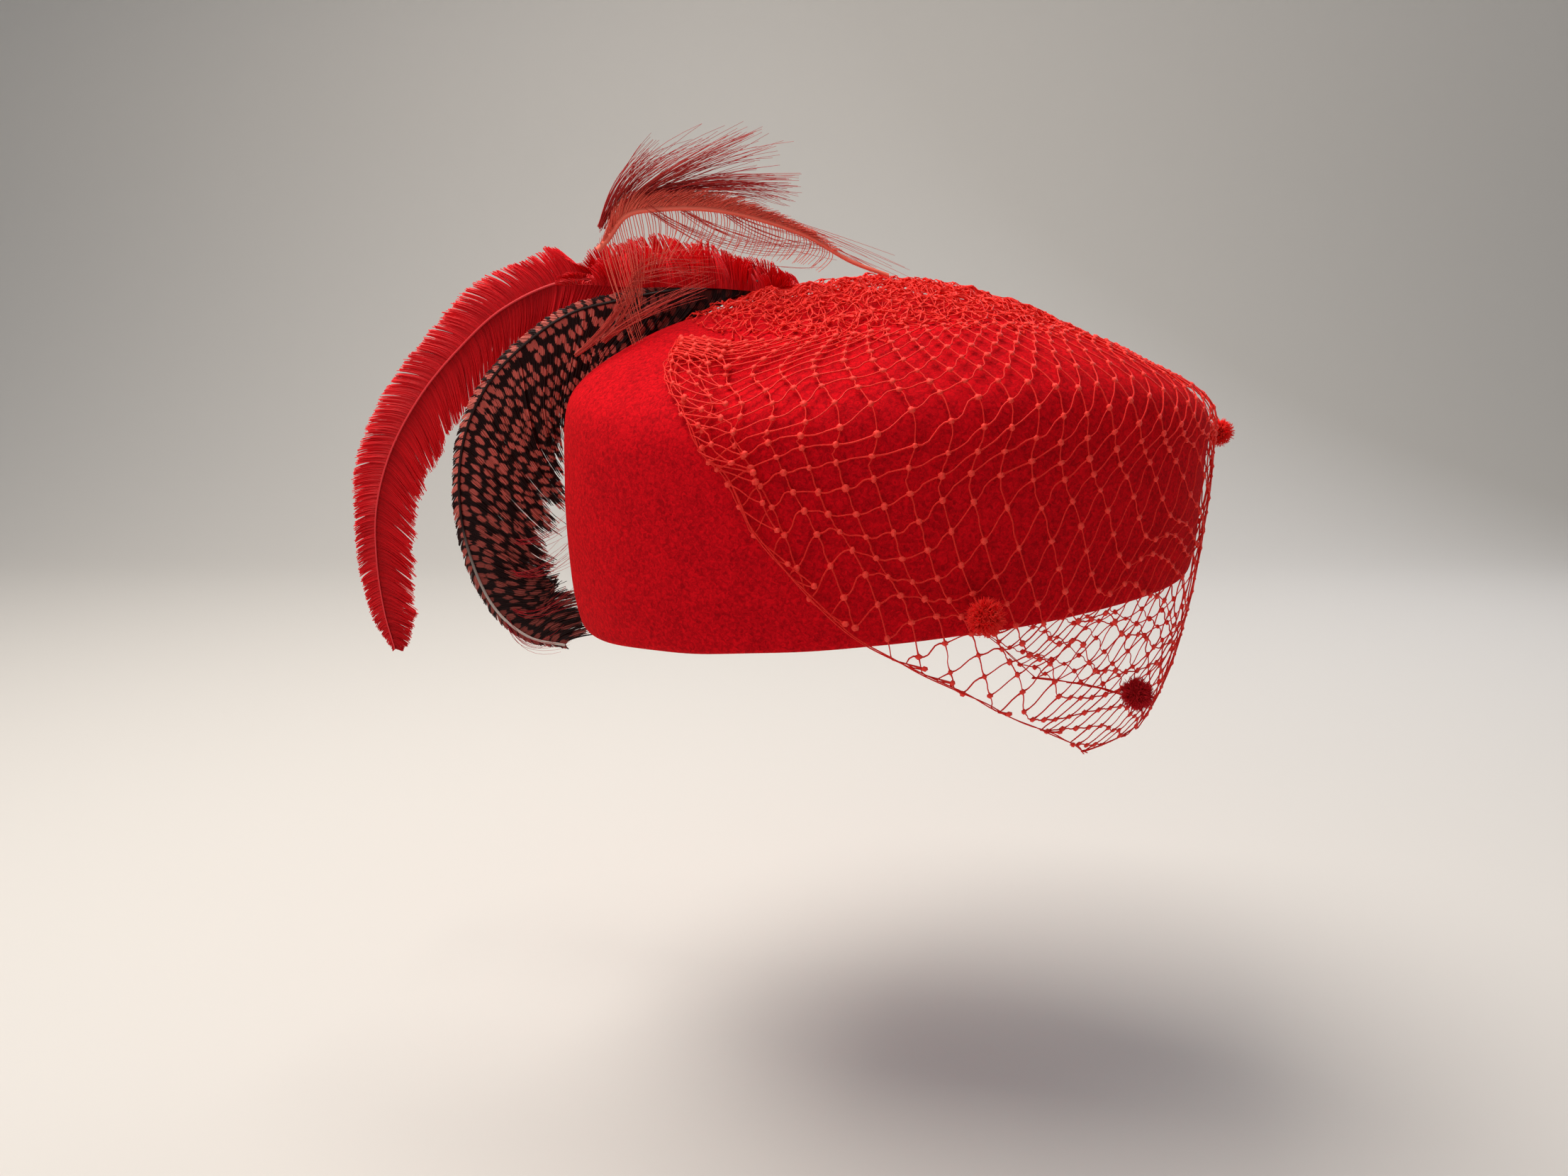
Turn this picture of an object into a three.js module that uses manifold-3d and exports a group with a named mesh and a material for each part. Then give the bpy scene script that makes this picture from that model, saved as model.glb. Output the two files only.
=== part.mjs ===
// A wool felt hat with a gathered net veil, two curled feathers, one wispy feather and chenille dots.
// Millimetres. +X is the front, +Y the wearer's left, +Z up. The origin is the centre of the head
// opening, level with the turned-under edge at the sides.

import * as THREE from 'three';
import { mergeVertices } from 'three/addons/utils/BufferGeometryUtils.js';
import Module from 'manifold-3d';

const wasm = await Module();
wasm.setup();

// Driving dimensions of the felt crown
const headLength = 196;
const headWidth = 162;
const frontOverhang = 53.5;
const backOverhang = 30;
const sideOverhang = 20;
const crownHeight = 131;
const feltWall = 2.5;
const rimSlope = 0.095;
const frontTaper = 0.08;
const crownSpokes = 40;
const wallRingStep = 0.5;
const topRingStep = 0.95;

// Driving dimensions of the net veil and of the crushed net on the crown
const threadWidth = 2.2;
const threadThickness = 1.6;
const veilStandoff = 1.9;
const veilDrop = 69;
const veilColumns = 23;
const knotSpread = 1.7;
const threadSpread = 1.15;
const gatherThickness = 4.6;
const gatherRimThickness = 1.4;
const gatherLift = 0.75;
const gatherRipple = 1.6;
const gatherFolds = 15;
const gatherOutlineSection = 8.4;
const gatherSpokes = 40;
const gatherRings = 5;

// Driving dimensions of the feathers
const plumeReach = 224;
const plumeRise = 135.5;
const plumeOuterVane = 15;
const plumeInnerVane = 19;
const plumeSide = 24;
const plumeLocks = 28;
const spottedReach = 178;
const spottedRise = 134;
const spottedOuterVane = 3.5;
const spottedInnerVane = 34;
const spottedSide = 6;
const spottedLocks = 26;
const wispyReach = 105;
const wispyRise = 163;
const wispySide = 14;
const wispyHang = 44;
const wispyFan = 46;
const wispyStrands = 12;
const wispyFanStrands = 7;
const rachisDiameter = 3;
const vaneThickness = 1.4;
const strandWidth = 1.8;
const lockNotch = 0.3;
const lockSweep = 0.45;

// Chenille dots, and the gap that neighbouring pieces keep
const frontDotSize = 11;
const sideDotSize = 14;
const hemDotSize = 13;
const pieceGap = 0.3;
const seatClearance = 0.55;

// Half reaches of the widest section, from the head opening
const frontReach = headLength / 2 + frontOverhang;
const backReach = headLength / 2 + backOverhang;
const sideReach = headWidth / 2 + sideOverhang;

// The crown's sections, from the turned-under edge up to the flat place round the apex.
// front, side and back are how far out of the head opening a row lies, as shares of each overhang.
// frontUp, sideUp and backUp are its heights, as shares of the crown's height.
const wallSections = [
  { name: 'opening edge', front: 0.0, side: 0.0, back: 0.0, frontUp: 0.045, sideUp: 0.040, backUp: 0.045 },
  { name: 'under side', front: 0.46, side: 0.36, back: 0.42, frontUp: 0.006, sideUp: 0.004, backUp: 0.006 },
  { name: 'rolled edge', front: 0.85, side: 0.68, back: 0.76, frontUp: -0.020, sideUp: -0.004, backUp: -0.020 },
  { name: 'edge bend', front: 0.945, side: 0.82, back: 0.90, frontUp: 0.040, sideUp: 0.062, backUp: 0.066 },
  { name: 'low wall', front: 0.965, side: 0.93, back: 0.97, frontUp: 0.180, sideUp: 0.200, backUp: 0.215 },
  { name: 'mid wall', front: 0.985, side: 1.0, back: 1.0, frontUp: 0.350, sideUp: 0.420, backUp: 0.460 },
  { name: 'tip', front: 1.0, side: 0.90, back: 0.96, frontUp: 0.462, sideUp: 0.625, backUp: 0.690 },
];

// Above the tip, the shares are of the widest section's reach from the middle.
const topSections = [
  { name: 'ridge', front: 0.965, side: 0.865, back: 0.930, frontUp: 0.545, sideUp: 0.735, backUp: 0.800 },
  { name: 'lower slope', front: 0.835, side: 0.665, back: 0.770, frontUp: 0.645, sideUp: 0.830, backUp: 0.895 },
  { name: 'upper slope', front: 0.640, side: 0.465, back: 0.610, frontUp: 0.770, sideUp: 0.897, backUp: 0.955 },
  { name: 'shoulder', front: 0.390, side: 0.280, back: 0.420, frontUp: 0.900, sideUp: 0.955, backUp: 0.985 },
  { name: 'flat', front: 0.090, side: 0.110, back: 0.250, frontUp: 0.990, sideUp: 0.990, backUp: 0.997 },
];
const apexAt = -0.12;

// Small dents that the gathered net pulls into the near slope.
// along and across are shares of the widest section, depth and spread are millimetres.
const dents = [
  { name: 'pull near the ridge', along: -0.40, across: -0.70, depth: 3.0, spread: 7 },
  { name: 'second pull', along: -0.28, across: -0.72, depth: 2.4, spread: 6 },
  { name: 'soft hollow behind the crest', along: -0.55, across: 0.30, depth: 2.5, spread: 16 },
];

// The veil's rows from the crushed net down to the hem. On the crown a row follows the felt at a
// section number. Below it hangs: heights are shares of the crown's height above the rim and of the
// drop below it, and reaches are shares of the widest section. rear is where its back edge runs, in
// degrees from the front.
const veilRows = [
  { name: 'edge of the crushed net', section: 8.37, rear: 147 },
  { name: 'slope', section: 7.85, rear: 142 },
  { name: 'low slope', section: 7.4, rear: 137 },
  { name: 'ridge', section: 6.9, rear: 131 },
  { name: 'below the ridge', section: 6.35, rear: 126 },
  { name: 'tip', section: 5.65, rear: 121 },
  { name: 'wall', frontUp: 0.270, sideUp: 0.36, front: 1.000, side: 1.000, rear: 111 },
  { name: 'low wall', frontUp: 0.080, sideUp: 0.075, front: 0.992, side: 0.985, rear: 94 },
  { name: 'below the rim', frontUp: -0.22, sideUp: -0.22, front: 0.975, side: 0.945, rear: 79 },
  { name: 'lobe', frontUp: -0.55, sideUp: -0.55, front: 0.945, side: 0.87, rear: 67 },
  { name: 'curl', frontUp: -0.82, sideUp: -0.80, front: 0.905, side: 0.79, rear: 57 },
  { name: 'hem', frontUp: -1.0, sideUp: -0.98, front: 0.865, side: 0.71, rear: 49 },
];

// The curled plume's shaft. back and up are shares of its reach and rise, outer and inner of its vanes.
const plumeRows = [
  { back: 0.110, up: null, outer: 0.15, inner: 0.10 },
  { back: 0.200, up: 0.985, outer: 0.50, inner: 0.12 },
  { back: 0.295, up: 0.996, outer: 0.90, inner: 0.25 },
  { back: 0.430, up: 0.998, outer: 1.20, inner: 0.42 },
  { back: 0.576, up: 1.000, outer: 0.88, inner: 0.80 },
  { back: 0.705, up: 0.912, outer: 1.06, inner: 0.95 },
  { back: 0.803, up: 0.775, outer: 0.95, inner: 1.00 },
  { back: 0.888, up: 0.616, outer: 0.98, inner: 1.02 },
  { back: 0.956, up: 0.427, outer: 0.95, inner: 0.92 },
  { back: 0.992, up: 0.240, outer: 0.70, inner: 0.86 },
  { back: 1.000, up: 0.060, outer: 0.62, inner: 0.80 },
  { back: 0.992, up: -0.130, outer: 0.45, inner: 0.62 },
  { back: 0.976, up: -0.262, outer: 0.10, inner: 0.16 },
];

// The spotted feather's shaft, from its tip on the crown round to its quill at the lower back.
const spottedRows = [
  { back: 0.240, up: null, outer: 0.30, inner: 0.04 },
  { back: 0.340, up: 0.985, outer: 0.60, inner: 0.12 },
  { back: 0.460, up: 0.975, outer: 0.80, inner: 0.22 },
  { back: 0.580, up: 0.946, outer: 1.00, inner: 0.38 },
  { back: 0.700, up: 0.905, outer: 1.00, inner: 0.52 },
  { back: 0.808, up: 0.815, outer: 1.00, inner: 0.66 },
  { back: 0.905, up: 0.690, outer: 1.00, inner: 0.84 },
  { back: 0.972, up: 0.530, outer: 1.00, inner: 1.00 },
  { back: 1.000, up: 0.340, outer: 1.00, inner: 1.00 },
  { back: 0.984, up: 0.110, outer: 1.00, inner: 0.92 },
  { back: 0.925, up: -0.085, outer: 0.90, inner: 0.74 },
  { back: 0.840, up: -0.185, outer: 0.70, inner: 0.50 },
  { back: 0.750, up: -0.212, outer: 0.50, inner: 0.20 },
];

// The wispy feather's arched shaft. Its first row stands on the crushed net.
const wispyRows = [
  { back: -0.110, up: null },
  { back: 0.040, up: 0.872 },
  { back: 0.213, up: 0.933 },
  { back: 0.400, up: 0.974 },
  { back: 0.590, up: 0.998 },
  { back: 0.780, up: 0.999 },
  { back: 0.920, up: 0.984 },
  { back: 1.000, up: 0.924 },
];

// Pick the two neighbours of a place in a table and blend a column between them.
function columnAt(rows, place, column) {
  const low = Math.max(0, Math.min(rows.length - 2, Math.floor(place)));
  const t = Math.max(0, Math.min(1, place - low));
  return THREE.MathUtils.lerp(rows[low][column], rows[low + 1][column], t);
}

// The crown's sections in millimetres, wall rows first, then the rows on top.
const crownRows = [
  ...wallSections.map((row) => ({
    front: headLength / 2 + row.front * frontOverhang,
    back: headLength / 2 + row.back * backOverhang,
    side: headWidth / 2 + row.side * sideOverhang,
    frontUp: row.frontUp * crownHeight,
    sideUp: row.sideUp * crownHeight,
    backUp: row.backUp * crownHeight,
  })),
  ...topSections.map((row) => ({
    front: row.front * frontReach,
    back: row.back * backReach,
    side: row.side * sideReach,
    frontUp: row.frontUp * crownHeight,
    sideUp: row.sideUp * crownHeight,
    backUp: row.backUp * crownHeight,
  })),
  {
    front: apexAt * backReach,
    back: -apexAt * backReach,
    side: 0,
    frontUp: crownHeight,
    sideUp: crownHeight,
    backUp: crownHeight,
  },
];
const apexRow = crownRows.length - 1;

// A point of one section: an ellipse in plan, a little narrower in front, on a sloping rim.
function sectionPoint(row, angle) {
  const along = Math.cos(angle);
  const across = Math.sin(angle);
  const x = (row.front - row.back) / 2 + (row.front + row.back) / 2 * along;
  const y = row.side * across * (1 - frontTaper * along);
  const endUp = THREE.MathUtils.lerp(row.backUp, row.frontUp, (1 + along) / 2);
  const up = THREE.MathUtils.lerp(endUp, row.sideUp, across * across);
  return new THREE.Vector3(x, y, up + rimSlope * x);
}

// Catmull-Rom blend of four neighbouring sections keeps the ridge soft and the walls full.
function crownRowAt(place) {
  const low = Math.max(0, Math.min(apexRow - 1, Math.floor(place)));
  const t = place - low;
  const pick = (step) => crownRows[Math.max(0, Math.min(apexRow, low + step))];
  const blend = {};
  for (const column of Object.keys(crownRows[0])) {
    const [a, b, c, d] = [pick(-1)[column], pick(0)[column], pick(1)[column], pick(2)[column]];
    const slopeIn = (c - a) / 2;
    const slopeOut = (d - b) / 2;
    const curve = (2 * b - 2 * c + slopeIn + slopeOut) * t + (3 * c - 3 * b - 2 * slopeIn - slopeOut);
    blend[column] = (curve * t + slopeIn) * t + b;
  }
  return blend;
}

// Dents sink the felt straight down, most at their middle.
function dentDepth(x, y) {
  let sink = 0;
  for (const dent of dents) {
    const dx = x - dent.along * backReach;
    const dy = y - dent.across * sideReach;
    sink += dent.depth * Math.exp(-(dx * dx + dy * dy) / (2 * dent.spread * dent.spread));
  }
  return sink;
}

function crownPoint(angle, place) {
  const point = sectionPoint(crownRowAt(place), angle);
  if (place > 5) {
    point.z -= dentDepth(point.x, point.y) * Math.min(1, place - 5);
  }
  return point;
}

function surfaceNormal(pointAt, angle, place) {
  const step = 0.02;
  const across = pointAt(angle + step, place).sub(pointAt(angle - step, place));
  const upward = pointAt(angle, place + step).sub(pointAt(angle, place - step));
  return across.cross(upward).normalize();
}

// Turn a list of corner points and triangles into a named mesh with its own material.
function geometryFrom(points, triangles) {
  const geometry = new THREE.BufferGeometry();
  const numbers = points.flatMap((point) => [point.x, point.y, point.z]);
  geometry.setAttribute('position', new THREE.Float32BufferAttribute(numbers, 3));
  geometry.setIndex(triangles.flat());
  return geometry;
}

function namedMesh(name, geometry, color, roughness) {
  geometry.computeVertexNormals();
  const material = new THREE.MeshStandardMaterial({ color, roughness, metalness: 0 });
  const mesh = new THREE.Mesh(geometry, material);
  mesh.name = name;
  return mesh;
}

// The felt crown: an outer skin over all sections and an inner skin one wall inside it.
function buildFeltCrown() {
  const rings = [];
  for (let place = 0; place < apexRow - 0.01; place += place < 4 ? wallRingStep : topRingStep) {
    rings.push(place);
  }
  const points = [];
  const triangles = [];
  const ringStart = (skin, ring) => skin * rings.length * crownSpokes + ring * crownSpokes;
  for (const skin of [0, 1]) {
    for (const place of rings) {
      for (let spoke = 0; spoke < crownSpokes; spoke += 1) {
        const angle = spoke / crownSpokes * 2 * Math.PI;
        const point = crownPoint(angle, place);
        const normal = surfaceNormal(crownPoint, angle, Math.max(place, 0.03));
        points.push(point.addScaledVector(normal, -skin * feltWall));
      }
    }
  }
  const apex = points.length;
  points.push(crownPoint(0, apexRow), crownPoint(0, apexRow).setZ(crownPoint(0, apexRow).z - feltWall));
  for (const skin of [0, 1]) {
    for (let spoke = 0; spoke < crownSpokes; spoke += 1) {
      const next = (spoke + 1) % crownSpokes;
      for (let ring = 0; ring < rings.length - 1; ring += 1) {
        const [low, high] = [ringStart(skin, ring), ringStart(skin, ring + 1)];
        const pair = [
          [low + spoke, low + next, high + next],
          [low + spoke, high + next, high + spoke],
        ];
        triangles.push(...pair.map((face) => (skin ? face.reverse() : face)));
      }
      const last = ringStart(skin, rings.length - 1);
      const cap = [last + spoke, last + next, apex + skin];
      triangles.push(skin ? cap.reverse() : cap);
      if (skin === 0) {
        const inner = ringStart(1, 0);
        triangles.push([inner + spoke, inner + next, next], [inner + spoke, next, spoke]);
      }
    }
  }
  return namedMesh('felt_crown', geometryFrom(points, triangles), 0xc40d1a, 0.95);
}

// The crushed net: a low mound with radiating folds, a skin over the top of the felt.
function buildGathers() {
  const points = [];
  const triangles = [];
  const rippleAt = (angle, share) => {
    const fold = Math.sin(gatherFolds * angle + 2 * share) + 0.6 * Math.sin(7 * angle - 5 * share);
    return gatherRipple * fold * share * (1 - share * share);
  };
  for (const skin of [0, 1]) {
    for (let ring = 1; ring <= gatherRings; ring += 1) {
      const share = ring / gatherRings;
      const place = THREE.MathUtils.lerp(apexRow, gatherOutlineSection, share);
      for (let spoke = 0; spoke < gatherSpokes; spoke += 1) {
        const angle = spoke / gatherSpokes * 2 * Math.PI;
        const point = crownPoint(angle, place);
        const mound = THREE.MathUtils.lerp(gatherThickness, gatherRimThickness, share * share);
        const rise = mound + rippleAt(angle, share);
        point.z += gatherLift + (skin ? 0 : rise);
        points.push(point);
      }
    }
  }
  const ringStart = (skin, ring) => (skin * gatherRings + ring) * gatherSpokes;
  const middle = points.length;
  const top = crownPoint(0, apexRow);
  points.push(top.clone().setZ(top.z + gatherLift + gatherThickness));
  points.push(top.clone().setZ(top.z + gatherLift));
  for (let spoke = 0; spoke < gatherSpokes; spoke += 1) {
    const next = (spoke + 1) % gatherSpokes;
    for (const skin of [0, 1]) {
      const faces = [[middle + skin, ringStart(skin, 0) + spoke, ringStart(skin, 0) + next]];
      for (let ring = 0; ring < gatherRings - 1; ring += 1) {
        const [near, far] = [ringStart(skin, ring), ringStart(skin, ring + 1)];
        faces.push([near + spoke, far + spoke, far + next], [near + spoke, far + next, near + next]);
      }
      triangles.push(...faces.map((face) => (skin ? face.reverse() : face)));
    }
    const [upper, lower] = [ringStart(0, gatherRings - 1), ringStart(1, gatherRings - 1)];
    triangles.push([upper + spoke, lower + spoke, lower + next], [upper + spoke, lower + next, upper + next]);
  }
  return namedMesh('net_gathers', geometryFrom(points, triangles), 0xcf1f2b, 0.8);
}

// The veil's middle surface. Column and row count the lattice's corners and may be fractions.
function veilRowPoint(row, angle) {
  if (row.section !== undefined) {
    const point = crownPoint(angle, row.section);
    return point.addScaledVector(surfaceNormal(crownPoint, angle, row.section), veilStandoff);
  }
  const scale = (up) => (up < 0 ? up * veilDrop : up * crownHeight);
  return sectionPoint({
    front: (frontReach + veilStandoff) * row.front,
    back: (backReach + veilStandoff) * row.side,
    side: (sideReach + veilStandoff) * row.side,
    frontUp: scale(row.frontUp),
    sideUp: scale(row.sideUp),
    backUp: scale(row.sideUp),
  }, angle);
}

function veilPoint(column, place) {
  const low = Math.max(0, Math.min(veilRows.length - 2, Math.floor(place)));
  const share = -1 + 2 * column / (veilColumns + 1);
  const rear = columnAt(veilRows, place, 'rear');
  const angle = THREE.MathUtils.degToRad(share * rear);
  const t = place - low;
  const near = veilRows[low];
  const far = veilRows[low + 1];
  if (near.section !== undefined && far.section !== undefined) {
    return veilRowPoint({ section: THREE.MathUtils.lerp(near.section, far.section, t) }, angle);
  }
  return veilRowPoint(near, angle).lerp(veilRowPoint(far, angle), t);
}

function veilNormal(column, place) {
  const step = 0.08;
  const across = veilPoint(column + step, place).sub(veilPoint(column - step, place));
  const down = veilPoint(column, Math.min(place + step, veilRows.length - 1));
  down.sub(veilPoint(column, Math.max(place - step, 0)));
  return down.cross(across).normalize();
}

// One open diamond of the lattice is a ring of eight corners outside and eight inside, on both faces.
function buildVeil() {
  const corners = new Map();
  const points = [];
  const triangles = [];
  const pointIndex = (key, make) => {
    if (!corners.has(key)) {
      corners.set(key, points.length);
      points.push(make());
    }
    return corners.get(key);
  };
  const ringPlaces = [[0, -1], [0.5, -0.5], [1, 0], [0.5, 0.5], [0, 1], [-0.5, 0.5], [-1, 0], [-0.5, -0.5]];
  const lastRow = veilRows.length - 2;
  for (let row = 1; row <= lastRow; row += 1) {
    for (let column = 1; column <= veilColumns; column += 1) {
      if ((row + column) % 2) {
        continue;
      }
      const ring = ringPlaces.map(([dc, dr]) => [column + dc, row + dr]);
      const middles = ring.map(([c, r]) => veilPoint(c, r));
      const centre = new THREE.Vector3();
      middles.forEach((point) => centre.addScaledVector(point, 1 / middles.length));
      const faces = [0.5, -0.5].map((side) => {
        const outer = ring.map(([c, r]) => pointIndex(`${c},${r},${side}`, () => (
          veilPoint(c, r).addScaledVector(veilNormal(c, r), side * threadThickness)
        )));
        const inner = middles.map((point, index) => {
          const [c, r] = ring[index];
          const inward = centre.clone().sub(point);
          const atCorner = index % 2 === 0;
          const shift = threadWidth / 2 * (atCorner ? knotSpread : threadSpread) / inward.length();
          const moved = point.clone().addScaledVector(inward, shift);
          points.push(moved.addScaledVector(veilNormal(c, r), side * threadThickness));
          return points.length - 1;
        });
        return { outer, inner };
      });
      const [front, back] = faces;
      for (let step = 0; step < 8; step += 1) {
        const next = (step + 1) % 8;
        triangles.push(
          [front.outer[step], front.inner[next], front.outer[next]],
          [front.outer[step], front.inner[step], front.inner[next]],
          [back.outer[step], back.outer[next], back.inner[next]],
          [back.outer[step], back.inner[next], back.inner[step]],
          [front.inner[step], back.inner[next], front.inner[next]],
          [front.inner[step], back.inner[step], back.inner[next]],
        );
        const [dc, dr] = ringPlaces[step];
        const [ec, er] = ringPlaces[next];
        const sideColumn = column + Math.sign(dc + ec);
        const sideRow = row + Math.sign(dr + er);
        const inGrid = sideColumn >= 1 && sideColumn <= veilColumns && sideRow >= 1 && sideRow <= lastRow;
        if (!inGrid) {
          triangles.push(
            [front.outer[step], front.outer[next], back.outer[next]],
            [front.outer[step], back.outer[next], back.outer[step]],
          );
        }
      }
    }
  }
  return namedMesh('veil_net', geometryFrom(points, triangles), 0xe0404a, 0.7);
}

// Height of a mesh's top face above a place in plan.
function heightOn(mesh, x, y) {
  const ray = new THREE.Raycaster(new THREE.Vector3(x, y, 3 * crownHeight), new THREE.Vector3(0, 0, -1));
  const hits = ray.intersectObject(mesh);
  return hits.length ? hits[0].point.z : 0;
}

// Points of a feather's shaft. A row without a height is seated on what lies under it.
function shaftPoints(rows, reach, rise, side, innerReach, seats) {
  return rows.map((row) => {
    const x = -row.back * reach;
    const seat = Math.max(...seats.map((mesh) => heightOn(mesh, x, side)));
    const under = Math.max(rachisDiameter / 2, (row.inner ?? 0) * innerReach);
    const up = row.up === null ? seat + seatClearance + under : row.up * rise;
    return new THREE.Vector3(x, side, up);
  });
}

// A vane on a shaft: six corners a station, with the edges cut into locks that lean to the tip.
function buildVane(name, rows, points, sizes, color) {
  const curve = new THREE.CatmullRomCurve3(points, false, 'centripetal');
  const stations = sizes.locks * 2;
  const corners = [];
  const triangles = [];
  for (let station = 0; station <= stations; station += 1) {
    const t = station / stations;
    const place = t * (rows.length - 1);
    const middle = curve.getPoint(t);
    const tangent = curve.getTangent(t);
    const face = new THREE.Vector3(0, -1, 0);
    const outward = new THREE.Vector3().crossVectors(tangent, face).normalize();
    const notch = station % 2 ? 1 - lockNotch : 1;
    const ends = station === 0 || station === stations;
    const lean = ends ? 0 : lockSweep * (station % 2 ? 0.4 : 1) * sizes.lean;
    const edge = (share, reach, way) => middle.clone()
      .addScaledVector(outward, way * share * reach * notch)
      .addScaledVector(tangent, lean * share * reach * 0.5)
      .addScaledVector(face, -sizes.cup * share * share * reach);
    const outer = edge(columnAt(rows, place, 'outer'), sizes.outer, 1);
    const inner = edge(columnAt(rows, place, 'inner'), sizes.inner, -1);
    const thick = (point, half) => [
      point.clone().addScaledVector(face, half),
      point.clone().addScaledVector(face, -half),
    ];
    const shaft = rachisDiameter / 2 * (1 - 0.5 * t);
    const [outerNear, outerFar] = thick(outer, vaneThickness / 2);
    const [shaftNear, shaftFar] = thick(middle, shaft);
    const [innerNear, innerFar] = thick(inner, vaneThickness / 2);
    corners.push(outerNear, shaftNear, innerNear, innerFar, shaftFar, outerFar);
  }
  const sides = 6;
  for (let station = 0; station < stations; station += 1) {
    for (let side = 0; side < sides; side += 1) {
      const next = (side + 1) % sides;
      const [a, b] = [station * sides + side, station * sides + next];
      triangles.push([a, b + sides, b], [a, a + sides, b + sides]);
    }
  }
  const last = stations * sides;
  for (const [a, b, c] of [[0, 4, 1], [0, 5, 4], [1, 3, 2], [1, 4, 3]]) {
    triangles.push([c, b, a], [last + a, last + b, last + c]);
  }
  return namedMesh(name, geometryFrom(corners, triangles), color, 0.75);
}

// A tapered strip with four sides along a curve, closed at both ends.
function stripGeometry(points, widthStart, widthEnd, steps) {
  const curve = new THREE.CatmullRomCurve3(points, false, 'centripetal');
  const corners = [];
  const triangles = [];
  const face = new THREE.Vector3(0, -1, 0);
  for (let step = 0; step <= steps; step += 1) {
    const t = step / steps;
    const middle = curve.getPoint(t);
    const outward = new THREE.Vector3().crossVectors(curve.getTangent(t), face).normalize();
    const half = THREE.MathUtils.lerp(widthStart, widthEnd, t) / 2;
    corners.push(
      middle.clone().addScaledVector(outward, half),
      middle.clone().addScaledVector(face, half),
      middle.clone().addScaledVector(outward, -half),
      middle.clone().addScaledVector(face, -half),
    );
  }
  for (let step = 0; step < steps; step += 1) {
    for (let side = 0; side < 4; side += 1) {
      const next = (side + 1) % 4;
      const [a, b] = [step * 4 + side, step * 4 + next];
      triangles.push([a, b + 4, b], [a, a + 4, b + 4]);
    }
  }
  const last = steps * 4;
  triangles.push([0, 1, 2], [0, 2, 3], [last, last + 2, last + 1], [last, last + 3, last + 2]);
  return geometryFrom(corners, triangles);
}

function toSolid(geometry) {
  const merged = mergeVertices(geometry, 1e-4);
  return new wasm.Manifold(new wasm.Mesh({
    numProp: 3,
    vertProperties: new Float32Array(merged.attributes.position.array),
    triVerts: new Uint32Array(merged.index.array),
  }));
}

function fromSolid(solid) {
  const mesh = solid.getMesh();
  const geometry = new THREE.BufferGeometry();
  geometry.setAttribute('position', new THREE.Float32BufferAttribute(Array.from(mesh.vertProperties), 3));
  geometry.setIndex(Array.from(mesh.triVerts));
  return geometry;
}

// The wispy feather: an arched shaft, strands that hang from it and a fan that stands up at its end.
function buildWispyFeather(seats) {
  const points = shaftPoints(wispyRows, wispyReach, wispyRise, -wispySide, 0, seats);
  const curve = new THREE.CatmullRomCurve3(points, false, 'centripetal');
  let solid = toSolid(stripGeometry(points, rachisDiameter, rachisDiameter * 0.8, 18));
  for (let strand = 0; strand < wispyStrands; strand += 1) {
    const share = strand / (wispyStrands - 1);
    const start = curve.getPoint(THREE.MathUtils.lerp(0.4, 0.985, share));
    const hang = wispyHang * THREE.MathUtils.lerp(0.42, 1, share * share);
    const drift = wispyHang * (THREE.MathUtils.lerp(0.30, -0.22, share) - 0.18 * Math.sin(2.4 * strand));
    const middle = start.clone().add(new THREE.Vector3(drift * 0.9, 0, -hang * 0.5));
    const end = start.clone().add(new THREE.Vector3(drift * 0.5, 0, -hang));
    solid = solid.add(toSolid(stripGeometry([start, middle, end], strandWidth, strandWidth * 0.7, 3)));
  }
  for (let strand = 0; strand < wispyFanStrands; strand += 1) {
    const share = strand / (wispyFanStrands - 1);
    const start = curve.getPoint(THREE.MathUtils.lerp(0.995, 0.72, share));
    const angle = THREE.MathUtils.lerp(1.15, 0.12, share);
    const reach = wispyFan * THREE.MathUtils.lerp(0.85, 1.3, Math.sin(Math.PI * share));
    const lift = new THREE.Vector3(Math.cos(angle), 0, Math.sin(angle));
    const middle = start.clone().addScaledVector(lift, reach * 0.5);
    middle.z += reach * 0.1;
    const end = start.clone().addScaledVector(lift, reach);
    solid = solid.add(toSolid(stripGeometry([start, middle, end], strandWidth, strandWidth * 0.7, 3)));
  }
  return namedMesh('wispy_feather', fromSolid(solid), 0xc04040, 0.7);
}

// A chenille dot: a ball of short locks, resting against a corner of the net.
function buildDot(name, size, column, row, color) {
  const ball = new THREE.IcosahedronGeometry(size / 2, 1);
  ball.deleteAttribute('normal');
  ball.deleteAttribute('uv');
  const geometry = mergeVertices(ball, 1e-3);
  const corner = geometry.attributes.position;
  const lock = new THREE.Vector3();
  const normal = veilNormal(column, row);
  let netSide = 0;
  for (let index = 0; index < corner.count; index += 1) {
    lock.fromBufferAttribute(corner, index);
    lock.multiplyScalar(1 - lockNotch * ((index * 7) % 3) / 3);
    corner.setXYZ(index, lock.x, lock.y, lock.z);
    netSide = Math.max(netSide, -lock.dot(normal));
  }
  const mesh = namedMesh(name, geometry, color, 0.95);
  mesh.position.copy(veilPoint(column, row));
  mesh.position.addScaledVector(normal, netSide + threadThickness / 2 + pieceGap);
  return mesh;
}

const hat = new THREE.Group();
const feltCrown = buildFeltCrown();
const gathers = buildGathers();
const seats = [feltCrown, gathers];
hat.add(feltCrown, gathers, buildVeil());

const plumeShaft = shaftPoints(plumeRows, plumeReach, plumeRise, plumeSide, plumeInnerVane, seats);
hat.add(buildVane('curled_plume', plumeRows, plumeShaft, {
  outer: plumeOuterVane,
  inner: plumeInnerVane,
  locks: plumeLocks,
  lean: 1,
  cup: 0.15,
}, 0xb00a16));

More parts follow.
